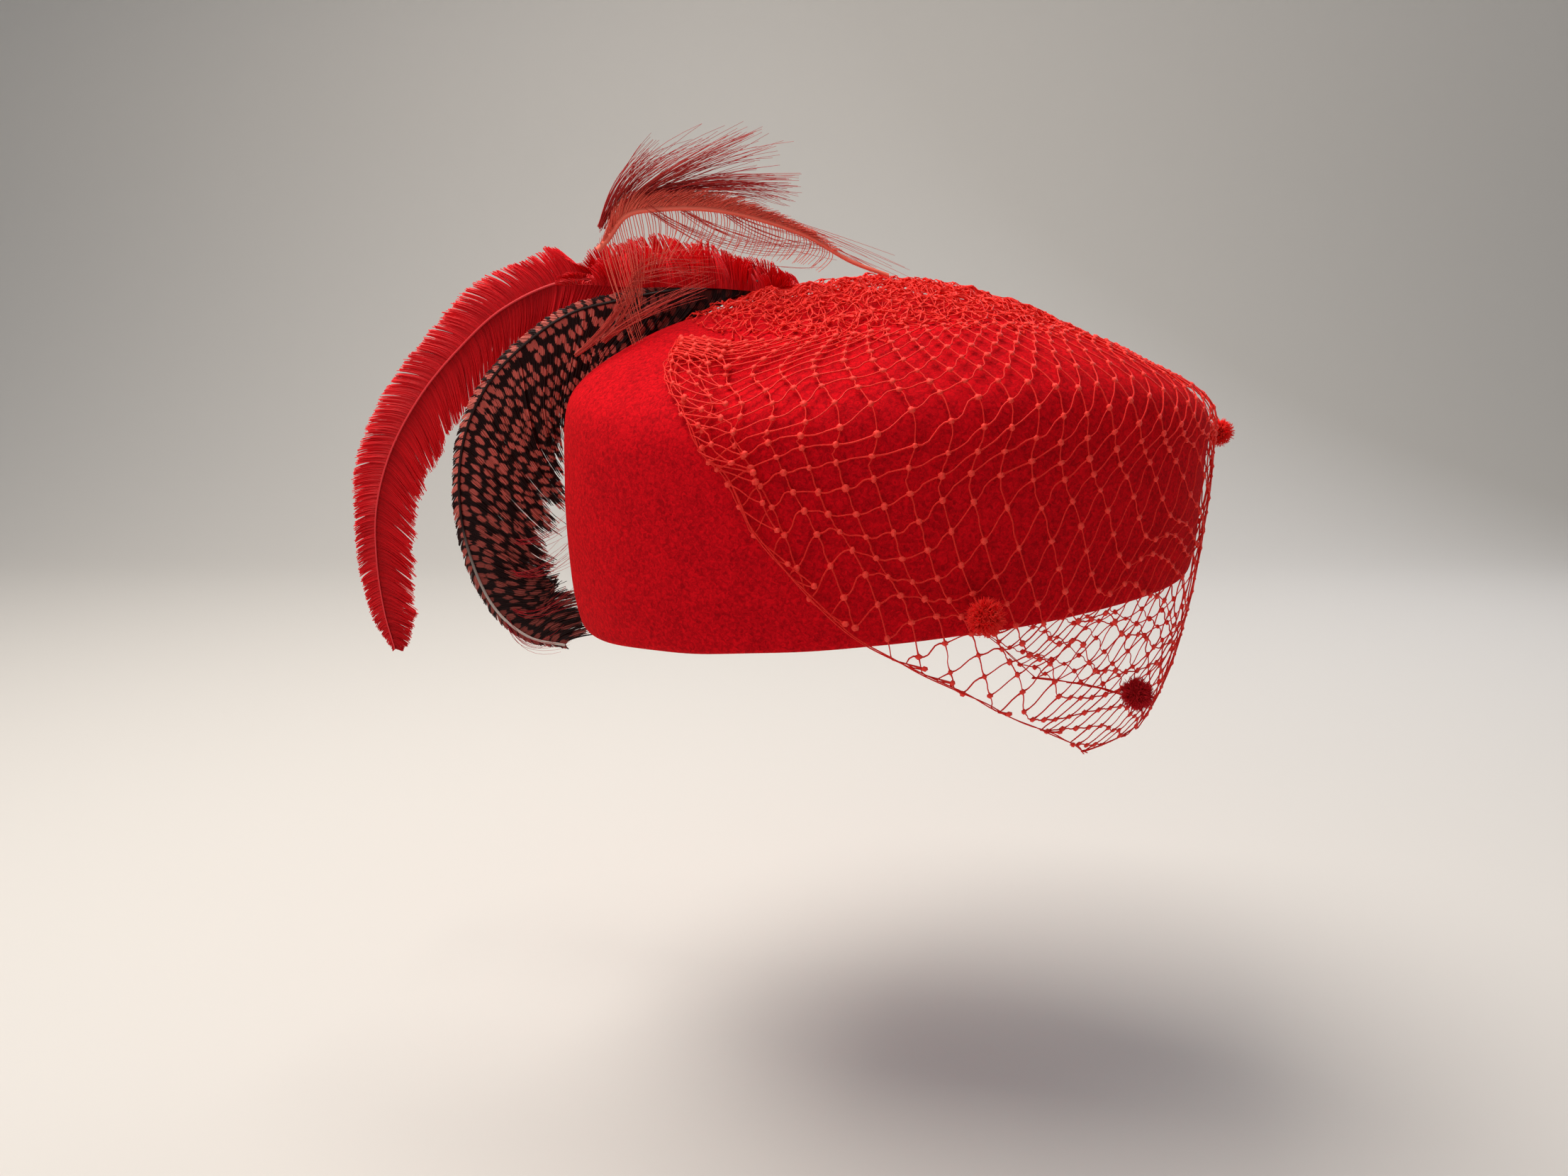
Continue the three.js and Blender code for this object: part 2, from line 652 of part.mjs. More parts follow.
const spottedShaft = shaftPoints(
  spottedRows, spottedReach, spottedRise, spottedSide, spottedInnerVane, seats,
);
hat.add(buildVane('spotted_feather', spottedRows, spottedShaft, {
  outer: spottedOuterVane,
  inner: spottedInnerVane,
  locks: spottedLocks,
  lean: -1,
  cup: 0.1,
}, 0x4a1414));

hat.add(buildWispyFeather(seats));
hat.add(buildDot('chenille_dot_front', frontDotSize, 12, 5, 0xb00818));
hat.add(buildDot('chenille_dot_side', sideDotSize, 2, 7, 0xb00818));
hat.add(buildDot('chenille_dot_hem', hemDotSize, 4, 9, 0x7a0c10));

export default hat;
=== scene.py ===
# %% [markdown]
# # A small felt hat with a net veil and feathers
# The hat is one shell of wool felt, pulled hot and wet over a wooden block, with its edge turned
# under. A coarse diamond net is crushed over the top and hangs over the front, and three feathers
# and three chenille dots are sewn on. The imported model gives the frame: metres, +X to the front,
# +Y to the wearer's left, +Z up, with the origin in the middle of the head opening.

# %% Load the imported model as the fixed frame
import bpy
import math
import numpy as np
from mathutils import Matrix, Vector, noise
from mathutils.bvhtree import BVHTree


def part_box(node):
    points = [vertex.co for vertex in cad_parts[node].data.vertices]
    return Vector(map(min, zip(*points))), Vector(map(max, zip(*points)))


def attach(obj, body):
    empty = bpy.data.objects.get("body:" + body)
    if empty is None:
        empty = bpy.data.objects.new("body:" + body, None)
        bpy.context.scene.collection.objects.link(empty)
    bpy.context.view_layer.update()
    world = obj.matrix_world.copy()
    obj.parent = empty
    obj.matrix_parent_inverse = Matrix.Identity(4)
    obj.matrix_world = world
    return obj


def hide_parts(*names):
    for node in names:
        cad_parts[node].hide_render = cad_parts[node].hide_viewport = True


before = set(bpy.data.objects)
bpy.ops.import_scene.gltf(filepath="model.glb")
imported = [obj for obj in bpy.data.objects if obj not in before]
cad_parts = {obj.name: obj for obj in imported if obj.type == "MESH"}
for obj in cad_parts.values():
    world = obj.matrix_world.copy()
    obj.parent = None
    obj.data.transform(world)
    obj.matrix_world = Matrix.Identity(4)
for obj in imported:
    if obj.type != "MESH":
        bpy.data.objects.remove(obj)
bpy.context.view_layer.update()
MM = 0.001
print("nodes:", ", ".join(sorted(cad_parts)))

# %% [markdown]
# A few small helpers serve every material. One turns an sRGB hex colour into the linear numbers
# that shaders want. One adds a node to any tree, with its settings and its links in one call. The
# rest start a material, lay a ramp of dyes over a number, and say how a surface shines. Everything
# else is written where it is first used.

# %% Helpers for colours and nodes
def linear(hex_colour):
    """An sRGB colour such as #c40d1a as linear red, green, blue and full alpha."""
    parts = [int(hex_colour[i:i + 2], 16) / 255 for i in (1, 3, 5)]
    return [c / 12.92 if c <= 0.04045 else ((c + 0.055) / 1.055) ** 2.4 for c in parts] + [1.0]


def add(tree, kind, inputs=None, **settings):
    """A node of that kind. inputs maps a socket's name or number to a value or to another socket."""
    node = tree.nodes.new(kind)
    for name, value in settings.items():
        setattr(node, name, value)
    for name, value in (inputs or {}).items():
        if isinstance(value, bpy.types.NodeSocket):
            tree.links.new(value, node.inputs[name])
        else:
            node.inputs[name].default_value = value
    return node


def start_material(name):
    """A new material, its node tree and its shader."""
    material = bpy.data.materials.new(name)
    material.use_nodes = True
    tree = material.node_tree
    return material, tree, tree.nodes["Principled BSDF"]


def ramp(tree, number, *stops):
    """The colour that a ramp gives for a number. A stop is a place on the ramp and a hex colour."""
    node = add(tree, "ShaderNodeValToRGB", {"Fac": number})
    for element, (position, hex_colour) in zip(node.color_ramp.elements, stops):
        element.position = position
        element.color = linear(hex_colour)
    return node.outputs["Color"]


def set_surface(tree, shader, colour, roughness, specular, sheen, sheen_tint):
    """Gives a shader its colour, how rough and glossy it is, and the sheen of its fibres."""
    tree.links.new(colour, shader.inputs["Base Color"])
    values = {"Roughness": roughness, "Specular IOR Level": specular, "Sheen Weight": sheen,
              "Sheen Tint": linear(sheen_tint)}
    for name, value in values.items():
        shader.inputs[name].default_value = value


print("felt red as linear numbers:", [round(c, 3) for c in linear("#c40d1a")])

# %% [markdown]
# The camera comes first, because every later look is judged through it. It stands to the hat's
# right, half a metre away and level with the upper part of the crown, and looks along +Y with its
# nose 13 degrees down. A sensor 36 mm wide and this lens give the picture's own field of view.

# %% Camera at the picture's angle
CAMERA_PLACE = Vector((-0.032, -0.520, 0.120))
CAMERA_PITCH = 13.0
SENSOR_WIDTH = 36
PICTURE_WIDTH = 2212
FOCAL_PIXELS = 1660

camera_data = bpy.data.cameras.new("camera")
camera_data.sensor_width = SENSOR_WIDTH
camera_data.lens = FOCAL_PIXELS / PICTURE_WIDTH * SENSOR_WIDTH
camera = bpy.data.objects.new("camera", camera_data)
camera.location = CAMERA_PLACE
camera.rotation_euler = (math.radians(90 - CAMERA_PITCH), 0, 0)
bpy.context.collection.objects.link(camera)
bpy.context.scene.camera = camera
print("lens in mm:", round(camera_data.lens, 2))

# %% [markdown]
# A studio for a saturated red needs care. Red felt has almost no green or blue to give back, so
# any haze from a filmic curve turns it orange, and the plain display transform is chosen. The
# floor is a pale sweep that bends up behind, and it stands well below, because the hat is worn
# and so held up. One broad light stands above and behind the left shoulder of the picture, and a
# weak one fills from the camera's side, so the top is bright and the near wall falls off. A third,
# behind on the right, draws the edge of the far side.

# %% Floor, sweep and lights
FLOOR_UP = -0.222
SWEEP_HALF_WIDTH = 2.6
SWEEP_NEAR = -2.4
SWEEP_BEND = 1.1
SWEEP_RADIUS = 0.7
SWEEP_TOP = 2.4
BEND_STEPS = 24
LIT_PLACE = Vector((0.0, 0.0, 0.06))


def sweep_profile():
    """The floor's side view as pairs of depth and height, flat and then round and then upright."""
    bend = [(SWEEP_BEND + SWEEP_RADIUS * math.sin(a), FLOOR_UP + SWEEP_RADIUS * (1 - math.cos(a)))
            for a in np.linspace(0, math.pi / 2, BEND_STEPS)]
    return [(SWEEP_NEAR, FLOOR_UP)] + bend + [(SWEEP_BEND + SWEEP_RADIUS, SWEEP_TOP)]


def make_sweep():
    profile = sweep_profile()
    points = [(side * SWEEP_HALF_WIDTH, y, z) for y, z in profile for side in (-1, 1)]
    faces = [(2 * i, 2 * i + 1, 2 * i + 3, 2 * i + 2) for i in range(len(profile) - 1)]
    mesh = bpy.data.meshes.new("floor")
    mesh.from_pydata(points, [], faces)
    mesh.shade_smooth()
    floor = bpy.data.objects.new("floor", mesh)
    bpy.context.collection.objects.link(floor)
    material, _, shader = start_material("studio_paper")
    shader.inputs["Base Color"].default_value = linear("#d9d7d3")
    shader.inputs["Roughness"].default_value = 0.9
    mesh.materials.append(material)


def make_light(name, place, size, power, colour):
    """A broad lamp that is aimed at the middle of the hat. size is width and height in metres."""
    data = bpy.data.lights.new(name, "AREA")
    data.shape = "RECTANGLE"
    data.size = size[0]
    data.size_y = size[1]
    data.energy = power
    data.color = linear(colour)[:3]
    light = bpy.data.objects.new(name, data)
    light.location = place
    light.rotation_euler = (LIT_PLACE - Vector(place)).to_track_quat("-Z", "Y").to_euler()
    bpy.context.collection.objects.link(light)


make_sweep()
make_light("key_light", (-0.45, 0.15, 1.35), (1.1, 0.9), 27.0, "#fff6ec")
make_light("fill_light", (-0.9, -1.5, 0.75), (1.6, 1.2), 5.5, "#fff8f2")
make_light("rim_light", (0.9, 0.9, 0.8), (0.7, 0.9), 5.0, "#f4f6ff")
world = bpy.data.worlds.new("studio_air")
world.use_nodes = True
world.node_tree.nodes["Background"].inputs["Color"].default_value = linear("#e6e8ec")
world.node_tree.nodes["Background"].inputs["Strength"].default_value = 0.28
bpy.context.scene.world = world
bpy.context.scene.view_settings.view_transform = "Standard"
print("floor is", round(-FLOOR_UP / MM), "mm below the head opening")

# %% [markdown]
# The felt's form is a stack of sections. Each row of the table is one level of the crown, given by
# how far it reaches to the front, side and back and how high it stands there. A section is an
# ellipse in plan that is a little narrower in front, and the whole rim slopes up to the front.
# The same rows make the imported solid, so the fine skin here lies where the coarse one does.

# %% Sizes and sections of the felt
HEAD_HALF = np.array([98.0, 81.0, 98.0]) * MM          # front, side and back of the head opening
OVERHANG = np.array([53.5, 20.0, 30.0]) * MM           # how far the felt stands out past it
CROWN_HEIGHT = 131 * MM
FELT_WALL = 2.5 * MM
RIM_SLOPE = 0.095
FRONT_TAPER = 0.08
APEX_AT = -0.12
REACH = HEAD_HALF + OVERHANG

# Shares of the overhang at front, side and back, then of the height at front, side and back
WALL_SECTIONS = np.array([
    [0.0, 0.0, 0.0, 0.045, 0.040, 0.045],              # opening edge
    [0.46, 0.36, 0.42, 0.006, 0.004, 0.006],           # under side
    [0.85, 0.68, 0.76, -0.020, -0.004, -0.020],        # rolled edge
    [0.945, 0.82, 0.90, 0.040, 0.062, 0.066],          # edge bend
    [0.965, 0.93, 0.97, 0.180, 0.200, 0.215],          # low wall
    [0.985, 1.0, 1.0, 0.350, 0.420, 0.460],            # mid wall
    [1.0, 0.90, 0.96, 0.462, 0.625, 0.690],            # tip
])
# Above the tip, the reaches are shares of the widest section's
TOP_SECTIONS = np.array([
    [0.965, 0.865, 0.930, 0.545, 0.735, 0.800],        # ridge
    [0.835, 0.665, 0.770, 0.645, 0.830, 0.895],        # lower slope
    [0.640, 0.465, 0.610, 0.770, 0.897, 0.955],        # upper slope
    [0.390, 0.280, 0.420, 0.900, 0.955, 0.985],        # shoulder
    [0.090, 0.110, 0.250, 0.990, 0.990, 0.997],        # flat
])
CROWN_ROWS = np.vstack([
    np.hstack([HEAD_HALF + WALL_SECTIONS[:, :3] * OVERHANG, WALL_SECTIONS[:, 3:] * CROWN_HEIGHT]),
    np.hstack([TOP_SECTIONS[:, :3] * REACH, TOP_SECTIONS[:, 3:] * CROWN_HEIGHT]),
    [[APEX_AT * REACH[2], 0.0, -APEX_AT * REACH[2]] + [CROWN_HEIGHT] * 3],
])
APEX_ROW = len(CROWN_ROWS) - 1
# Dents that the gathered net pulls in: place along and across as shares, depth and spread
DENTS = [
    (-0.40, -0.70, 3.0 * MM, 7 * MM),
    (-0.28, -0.72, 2.4 * MM, 6 * MM),
    (-0.55, 0.30, 2.5 * MM, 16 * MM),
]
DENTS_FROM_ROW = 5


def blend_rows(rows, place):
    """A smooth Catmull-Rom blend down a table, for many fractional places at once."""
    last = len(rows) - 1
    place = np.clip(place, 0, last)
    low = np.minimum(np.floor(place).astype(int), last - 1)
    t = (place - low)[..., None]
    a, b, c, d = (rows[np.clip(low + step, 0, last)] for step in (-1, 0, 1, 2))
    slope_in, slope_out = (c - a) / 2, (d - b) / 2
    curve = (2 * b - 2 * c + slope_in + slope_out) * t + (3 * c - 3 * b - 2 * slope_in - slope_out)
    return (curve * t + slope_in) * t + b


def section_points(columns, angle):
    front, side, back, front_up, side_up, back_up = np.moveaxis(columns, -1, 0)
    along, across = np.cos(angle), np.sin(angle)
    x = (front - back) / 2 + (front + back) / 2 * along
    y = side * across * (1 - FRONT_TAPER * along)
    end_up = back_up + (front_up - back_up) * (1 + along) / 2
    up = end_up + (side_up - end_up) * across ** 2
    return np.stack([x, y, up + RIM_SLOPE * x], -1)


def crown_points(angle, place):
    """The felt's outer face at angles round the crown and places in the table."""
    points = section_points(blend_rows(CROWN_ROWS, place), angle)
    sink = np.zeros(points.shape[:-1])
    for along, across, depth, spread in DENTS:
        dx = points[..., 0] - along * REACH[2]
        dy = points[..., 1] - across * REACH[1]
        sink += depth * np.exp(-(dx ** 2 + dy ** 2) / (2 * spread ** 2))
    points[..., 2] -= sink * np.clip(place - DENTS_FROM_ROW, 0, 1)
    return points


def surface_normals(points_at, angle, place, step=0.02):
    across = points_at(angle + step, place) - points_at(angle - step, place)
    upward = points_at(angle, place + step) - points_at(angle, place - step)
    normal = np.cross(across, upward)
    return normal / np.maximum(np.linalg.norm(normal, axis=-1, keepdims=True), 1e-12)


print("felt is", [round(v / MM) for v in (REACH[0] + REACH[2], 2 * REACH[1], CROWN_HEIGHT)], "mm")

# %% [markdown]
# The shell itself is a grid of spokes and rings, once outside and once one wall further in, joined
# at the turned-under edge. Blocking leaves the skin almost smooth, with long soft swells where the
# cone was pulled, so a slow noise moves each point by part of a millimetre. Doing this in the mesh
# rather than in the shader keeps the swells in the outline too.

# %% Felt shell
FELT_SPOKES = 216
FELT_RINGS = 108
SWELL_SIZE = 34 * MM
SWELL_DEPTH = 0.55 * MM
SHORT_OF_APEX = 0.05                                   # the last ring stops just short of the apex


def slow_noise(points, size, seed=0.0):
    """Smooth noise from -1 to 1 at each point, with features of about that size."""
    flat = points.reshape(-1, 3) / size + seed
    return np.array([noise.noise(p) for p in flat]).reshape(points.shape[:-1])


def mesh_object(name, points, faces):
    mesh = bpy.data.meshes.new(name)
    mesh.from_pydata(points, [], faces)
    mesh.update()
    mesh.shade_smooth()
    made = bpy.data.objects.new(name, mesh)
    bpy.context.collection.objects.link(made)
    return made


def make_felt():
    """Outer and inner skin, the strip between them at the edge, and a fan of triangles on top."""
    places = np.linspace(0, APEX_ROW - SHORT_OF_APEX, FELT_RINGS)
    angles = np.linspace(0, 2 * math.pi, FELT_SPOKES, endpoint=False)
    place, angle = np.meshgrid(places, angles, indexing="ij")
    outer = crown_points(angle, place)
    normal = surface_normals(crown_points, angle, np.maximum(place, 0.03))
    outer = outer + normal * (slow_noise(outer, SWELL_SIZE) * SWELL_DEPTH)[..., None]
    inner = outer - normal * FELT_WALL
    apex = crown_points(np.zeros(1), np.full(1, float(APEX_ROW)))
    points = np.vstack([outer.reshape(-1, 3), inner.reshape(-1, 3), apex, apex - [0, 0, FELT_WALL]])
    count = FELT_RINGS * FELT_SPOKES
    ring, spoke = np.meshgrid(np.arange(FELT_RINGS - 1), np.arange(FELT_SPOKES), indexing="ij")
    low = ring * FELT_SPOKES + spoke
    low_next = ring * FELT_SPOKES + (spoke + 1) % FELT_SPOKES
    quads = np.stack([low, low_next, low_next + FELT_SPOKES, low + FELT_SPOKES], -1).reshape(-1, 4)
    spokes = np.arange(FELT_SPOKES)
    following = (spokes + 1) % FELT_SPOKES
    last = (FELT_RINGS - 1) * FELT_SPOKES
    edge = np.stack([count + spokes, count + following, following, spokes], -1)
    cap = np.stack([last + spokes, last + following, np.full(FELT_SPOKES, 2 * count)], -1)
    inner_cap = np.stack([last + following, last + spokes, np.full(FELT_SPOKES, count + 1)], -1)
    inner_cap[:, :2] += count
    inner_cap[:, 2] += count
    faces = quads.tolist() + (quads[:, ::-1] + count).tolist() + edge.tolist()
    return mesh_object("blocked_felt", points, faces + cap.tolist() + inner_cap.tolist())


felt = make_felt()
felt_tree = BVHTree.FromObject(felt, bpy.context.evaluated_depsgraph_get())
outer_faces = felt.data.polygons[:(FELT_RINGS - 1) * FELT_SPOKES]
skin_tree = BVHTree.FromPolygons([v.co for v in felt.data.vertices],
                                 [tuple(face.vertices) for face in outer_faces])
print("felt faces:", len(felt.data.polygons))

# %% [markdown]
# Wool felt is a mat of curled fibres with no weave. Close to, the eye sees a fine mottle of lighter
# and darker tufts a millimetre or two wide, a soft halo where fibres stand up at a glancing angle,
# and no gloss at all. Two noises, at the size of a tuft and of a patch, vary the dye. The first
# and a third at the size of a fibre are the bump, and the shader's sheen gives the halo.

# %% Wool felt finish
FELT_TUFT = 1.6 * MM
FELT_PATCH = 14 * MM
FELT_FIBRE = 0.45 * MM


def make_wool_felt():
    material, tree, shader = start_material("wool_felt")
    place = add(tree, "ShaderNodeTexCoord").outputs["Object"]
    tuft = add(tree, "ShaderNodeTexNoise", {"Vector": place, "Scale": 1 / FELT_TUFT, "Detail": 5.0,
                                            "Roughness": 0.7, "Distortion": 0.8})
    patch = add(tree, "ShaderNodeTexNoise", {"Vector": place, "Scale": 1 / FELT_PATCH, "Detail": 3.0})
    mixed = add(tree, "ShaderNodeMath", {0: tuft.outputs["Fac"], 1: 0.85}, operation="MULTIPLY")
    mixed = add(tree, "ShaderNodeMath", {0: patch.outputs["Fac"], 1: 0.15, 2: mixed.outputs[0]},
                operation="MULTIPLY_ADD")
    dye = ramp(tree, mixed.outputs[0], (0.37, "#a00210"), (0.61, "#e60a1a"))
    fibre = add(tree, "ShaderNodeTexNoise", {"Vector": place, "Scale": 1 / FELT_FIBRE, "Detail": 4.0,
                                             "Roughness": 0.75, "Distortion": 1.5})
    relief = add(tree, "ShaderNodeMath", {0: tuft.outputs["Fac"], 1: fibre.outputs["Fac"]},
                 operation="ADD")
    bump = add(tree, "ShaderNodeBump", {"Height": relief.outputs[0], "Strength": 0.5,
                                        "Distance": 0.35 * MM})
    tree.links.new(bump.outputs["Normal"], shader.inputs["Normal"])
    set_surface(tree, shader, dye, 0.95, 0.08, 0.22, "#ff2a20")
    shader.inputs["Sheen Roughness"].default_value = 0.45
    return material


wool_felt = make_wool_felt()
felt.data.materials.append(wool_felt)
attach(felt, "root")
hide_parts("felt_crown")
print("felt finish:", wool_felt.name)

# %% [markdown]
# Net, barbs and fine strands are all thin round things that follow paths, so one Geometry Nodes
# tree makes them. It takes a mesh of bare edges, turns it into curves, sweeps a ring of a few
# sides along each one with the thickness stored at its points, and gives it a material. Numbers
# stored on the points, such as a place on the feather, ride along for the finish to read.

# %% The tree that turns paths into strands
def start_tree(name, numbers):
    """A Geometry Nodes tree that takes a geometry, numbers of the given kinds and a material."""
    tree = bpy.data.node_groups.new(name, "GeometryNodeTree")
    kinds = {"Geometry": "Geometry", **numbers, "Material": "Material"}
    for socket, kind in kinds.items():
        tree.interface.new_socket(name=socket, in_out="INPUT", socket_type="NodeSocket" + kind)
    tree.interface.new_socket(name="Geometry", in_out="OUTPUT", socket_type="NodeSocketGeometry")
    return tree, add(tree, "NodeGroupInput").outputs


def end_tree(tree, geometry, material):
    """Makes instances real, smooths the shading, and gives the material."""
    real = add(tree, "GeometryNodeRealizeInstances", {0: geometry})
    smooth = add(tree, "GeometryNodeSetShadeSmooth", {0: real.outputs[0]})
    painted = add(tree, "GeometryNodeSetMaterial", {0: smooth.outputs[0], "Material": material})
    add(tree, "NodeGroupOutput", {0: painted.outputs[0]})
    return tree


def make_strand_tree():
    tree, given = start_tree("strands_along_paths", {"Sides": "Int"})
    paths = add(tree, "GeometryNodeMeshToCurve", {"Mesh": given["Geometry"]})
    width = add(tree, "GeometryNodeInputNamedAttribute", {"Name": "half_width"}, data_type="FLOAT")
    ring = add(tree, "GeometryNodeCurvePrimitiveCircle", {"Resolution": given["Sides"], "Radius": 1.0})
    swept = add(tree, "GeometryNodeCurveToMesh", {
        "Curve": paths.outputs["Curve"], "Profile Curve": ring.outputs["Curve"],
        "Scale": width.outputs["Attribute"], "Fill Caps": True})
    return end_tree(tree, swept.outputs["Mesh"], given["Material"])


def run_tree(source, tree, values, name):
    """Runs a tree on an object and leaves one plain mesh object in its place."""
    modifier = source.modifiers.new("nodes", "NODES")
    modifier.node_group = tree
    for item in tree.interface.items_tree:
        if item.in_out == "INPUT" and item.name in values:
            modifier[item.identifier] = values[item.name]
    shown = source.evaluated_get(bpy.context.evaluated_depsgraph_get())
    mesh = bpy.data.meshes.new_from_object(shown)
    mesh.name = name
    made = bpy.data.objects.new(name, mesh)
    bpy.context.collection.objects.link(made)
    bpy.data.objects.remove(source)
    return made


def path_object(name, groups):
    """A mesh of bare edges. A group holds lines (n, k, 3), half widths and numbers for each point."""
    points = np.vstack([g["lines"].reshape(-1, 3) for g in groups])
    edges, start = [], 0
    for g in groups:
        lines, steps = g["lines"].shape[:2]
        first = start + np.arange(lines)[:, None] * steps + np.arange(steps - 1)[None, :]
        edges.append(np.stack([first, first + 1], -1).reshape(-1, 2))
        start += lines * steps
    edges = np.vstack(edges)
    mesh = bpy.data.meshes.new(name)
    mesh.vertices.add(len(points))
    mesh.vertices.foreach_set("co", points.ravel())
    mesh.edges.add(len(edges))
    mesh.edges.foreach_set("vertices", edges.ravel().astype(np.int32))
    width = np.concatenate([np.broadcast_to(g["width"], g["lines"].shape[:2]).ravel() for g in groups])
    mesh.attributes.new("half_width", "FLOAT", "POINT").data.foreach_set("value", width)
    place = np.vstack([np.broadcast_to(g["place"], g["lines"].shape).reshape(-1, 3) for g in groups])
    mesh.attributes.new("place", "FLOAT_VECTOR", "POINT").data.foreach_set("vector", place.ravel())
    mesh.update()
    made = bpy.data.objects.new(name, mesh)
    bpy.context.collection.objects.link(made)
    return made


def strands(name, groups, sides, material):
    """Groups of paths, swept into one plain object with that many sides to each strand."""
    made = run_tree(path_object(name + "_paths", groups), strand_tree,
                    {"Sides": sides, "Material": material}, name)
    made.data.calc_loop_triangles()
    print(name, "triangles:", len(made.data.loop_triangles))
    return made


strand_tree = make_strand_tree()
random = np.random.default_rng(11)
print("strand tree nodes:", len(strand_tree.nodes))

# %% [markdown]
# The veil is a stiffened net of knotted thread, cut from a roll about 23 cm wide. Its cells are
# diamonds, about 14 mm across and 12.5 mm high where it lies free and closed up at the top, and
# each thread is slack enough to bend into a soft S between knots. The sheet lies on the felt from
# the crushed net down to the tip and then falls clear past the rim. Its surface follows the packed
# solid's rows, blended smoothly, and the diamonds are laid on it by measured lengths of cloth.

# %% The veil's surface
VEIL_DROP = 69 * MM
VEIL_STANDOFF = 1.5 * MM
CELL_WIDE = 14.0 * MM
CELL_HIGH = 12.5 * MM

# Rows on the felt: the section that each follows, and the angle of its rear edge from the front
VEIL_ON_FELT = np.array([[8.37, 147], [7.85, 142], [7.4, 137], [6.9, 131], [6.35, 126], [5.65, 121]])
# Hanging rows: heights at front and side as shares of the crown's height above the rim or of the
# drop below it, reaches at front and side as shares of the widest section, and the rear edge's angle
VEIL_HANGING = np.array([
    [0.270, 0.36, 1.000, 1.000, 113],
    [0.080, 0.075, 0.992, 0.985, 100],
    [-0.22, -0.22, 0.975, 0.945, 86],
    [-0.55, -0.55, 0.945, 0.870, 72],
    [-0.82, -0.80, 0.905, 0.790, 59],
    [-1.00, -0.98, 0.865, 0.710, 49],
])


def veil_columns():
    """Every row as reaches, heights, section number and rear angle, ready to be blended."""
    on_felt = blend_rows(CROWN_ROWS, VEIL_ON_FELT[:, 0])
    hang = VEIL_HANGING
    up = np.where(hang[:, :2] < 0, hang[:, :2] * VEIL_DROP, hang[:, :2] * CROWN_HEIGHT)
    reach = REACH + VEIL_STANDOFF
    free = np.stack([hang[:, 2] * reach[0], hang[:, 3] * reach[1], hang[:, 3] * reach[2],
                     up[:, 0], up[:, 1], up[:, 1]], -1)
    sections = np.concatenate([VEIL_ON_FELT[:, 0], np.full(len(hang), VEIL_ON_FELT[-1, 0])])
    rear = np.radians(np.concatenate([VEIL_ON_FELT[:, 1], hang[:, 4]]))
    return np.hstack([np.vstack([on_felt, free]), sections[:, None], rear[:, None]])


VEIL_ROWS = veil_columns()
LAST_ON_FELT = len(VEIL_ON_FELT) - 1
HEM_ROW = len(VEIL_ROWS) - 1


def veil_surface(angle, place):
    """Points of the veil. Down to the tip they lie on the felt, and below it they hang free."""
    row = blend_rows(VEIL_ROWS, place)
    hanging = section_points(row[..., :6], angle)
    section = row[..., 6]
    on_felt = crown_points(angle, section)
    lift = surface_normals(crown_points, angle, section) * VEIL_STANDOFF
    free = np.clip(place - LAST_ON_FELT, 0, 1)[..., None]
    free = free * free * (3 - 2 * free)
    return (on_felt + lift) * (1 - free) + hanging * free


def rear_angle(place):
    """How far round from the front the veil reaches at that place."""
    return blend_rows(VEIL_ROWS, place)[..., 7]


def even_places(count):
    """Places down the table that are equal lengths apart, and the whole length."""
    fine = np.linspace(0, HEM_ROW, 300)
    line = veil_surface(np.full(300, MEASURED_AT), fine)
    length = np.concatenate([[0], np.cumsum(np.linalg.norm(np.diff(line, axis=0), axis=1))])
    return np.interp(np.linspace(0, length[-1], count), length, fine), length[-1]


MEASURED_AT = -1.0                                     # radians round from the front
_, veil_length = even_places(2)
# How high and how wide a cell is at shares of the way down: closed up at the top, opened at the hem
GRADE = np.array([
    [0.00, 0.45, 0.50],
    [0.12, 0.65, 0.68],
    [0.30, 0.95, 0.90],
    [0.60, 1.05, 1.00],
    [0.82, 1.00, 0.98],
    [1.00, 0.95, 0.90],
])
SHARE_DOWN, HIGH_SHARE, WIDE_SHARE = GRADE.T
mean_height = np.interp(np.linspace(0, 1, 101), SHARE_DOWN, HIGH_SHARE).mean() * CELL_HIGH / 2
VEIL_HALF_ROWS = int(round(veil_length / mean_height))
row_shares = np.linspace(0, 1, VEIL_HALF_ROWS + 1)
row_heights = np.interp((row_shares[1:] + row_shares[:-1]) / 2, SHARE_DOWN, HIGH_SHARE)
passed = np.concatenate([[0], np.cumsum(row_heights)]) / row_heights.sum()
fine_places, _ = even_places(400)
ROW_PLACES = np.interp(passed, np.linspace(0, 1, 400), fine_places)
ARC_STEP = 1 * MM
ARC_COUNT = 420
turns = np.linspace(0, math.pi, 361)
levels = np.linspace(0, HEM_ROW, 12 * HEM_ROW + 1)
around = veil_surface(*np.meshgrid(turns, levels))
arcs = np.concatenate([np.zeros((len(levels), 1)),
                       np.cumsum(np.linalg.norm(np.diff(around, axis=1), axis=2), axis=1)], axis=1)
# Each row of this table gives the angle for every millimetre of cloth round from the front
ANGLE_TABLE = np.array([np.interp(np.arange(ARC_COUNT) * ARC_STEP, arc, turns) for arc in arcs])
REAR_ARCS = np.array([np.interp(rear_angle(level), turns, arc) for level, arc in zip(levels, arcs)])
print("veil is", round(2 * REAR_ARCS.max() / MM), "mm wide and", round(veil_length / MM), "mm long")


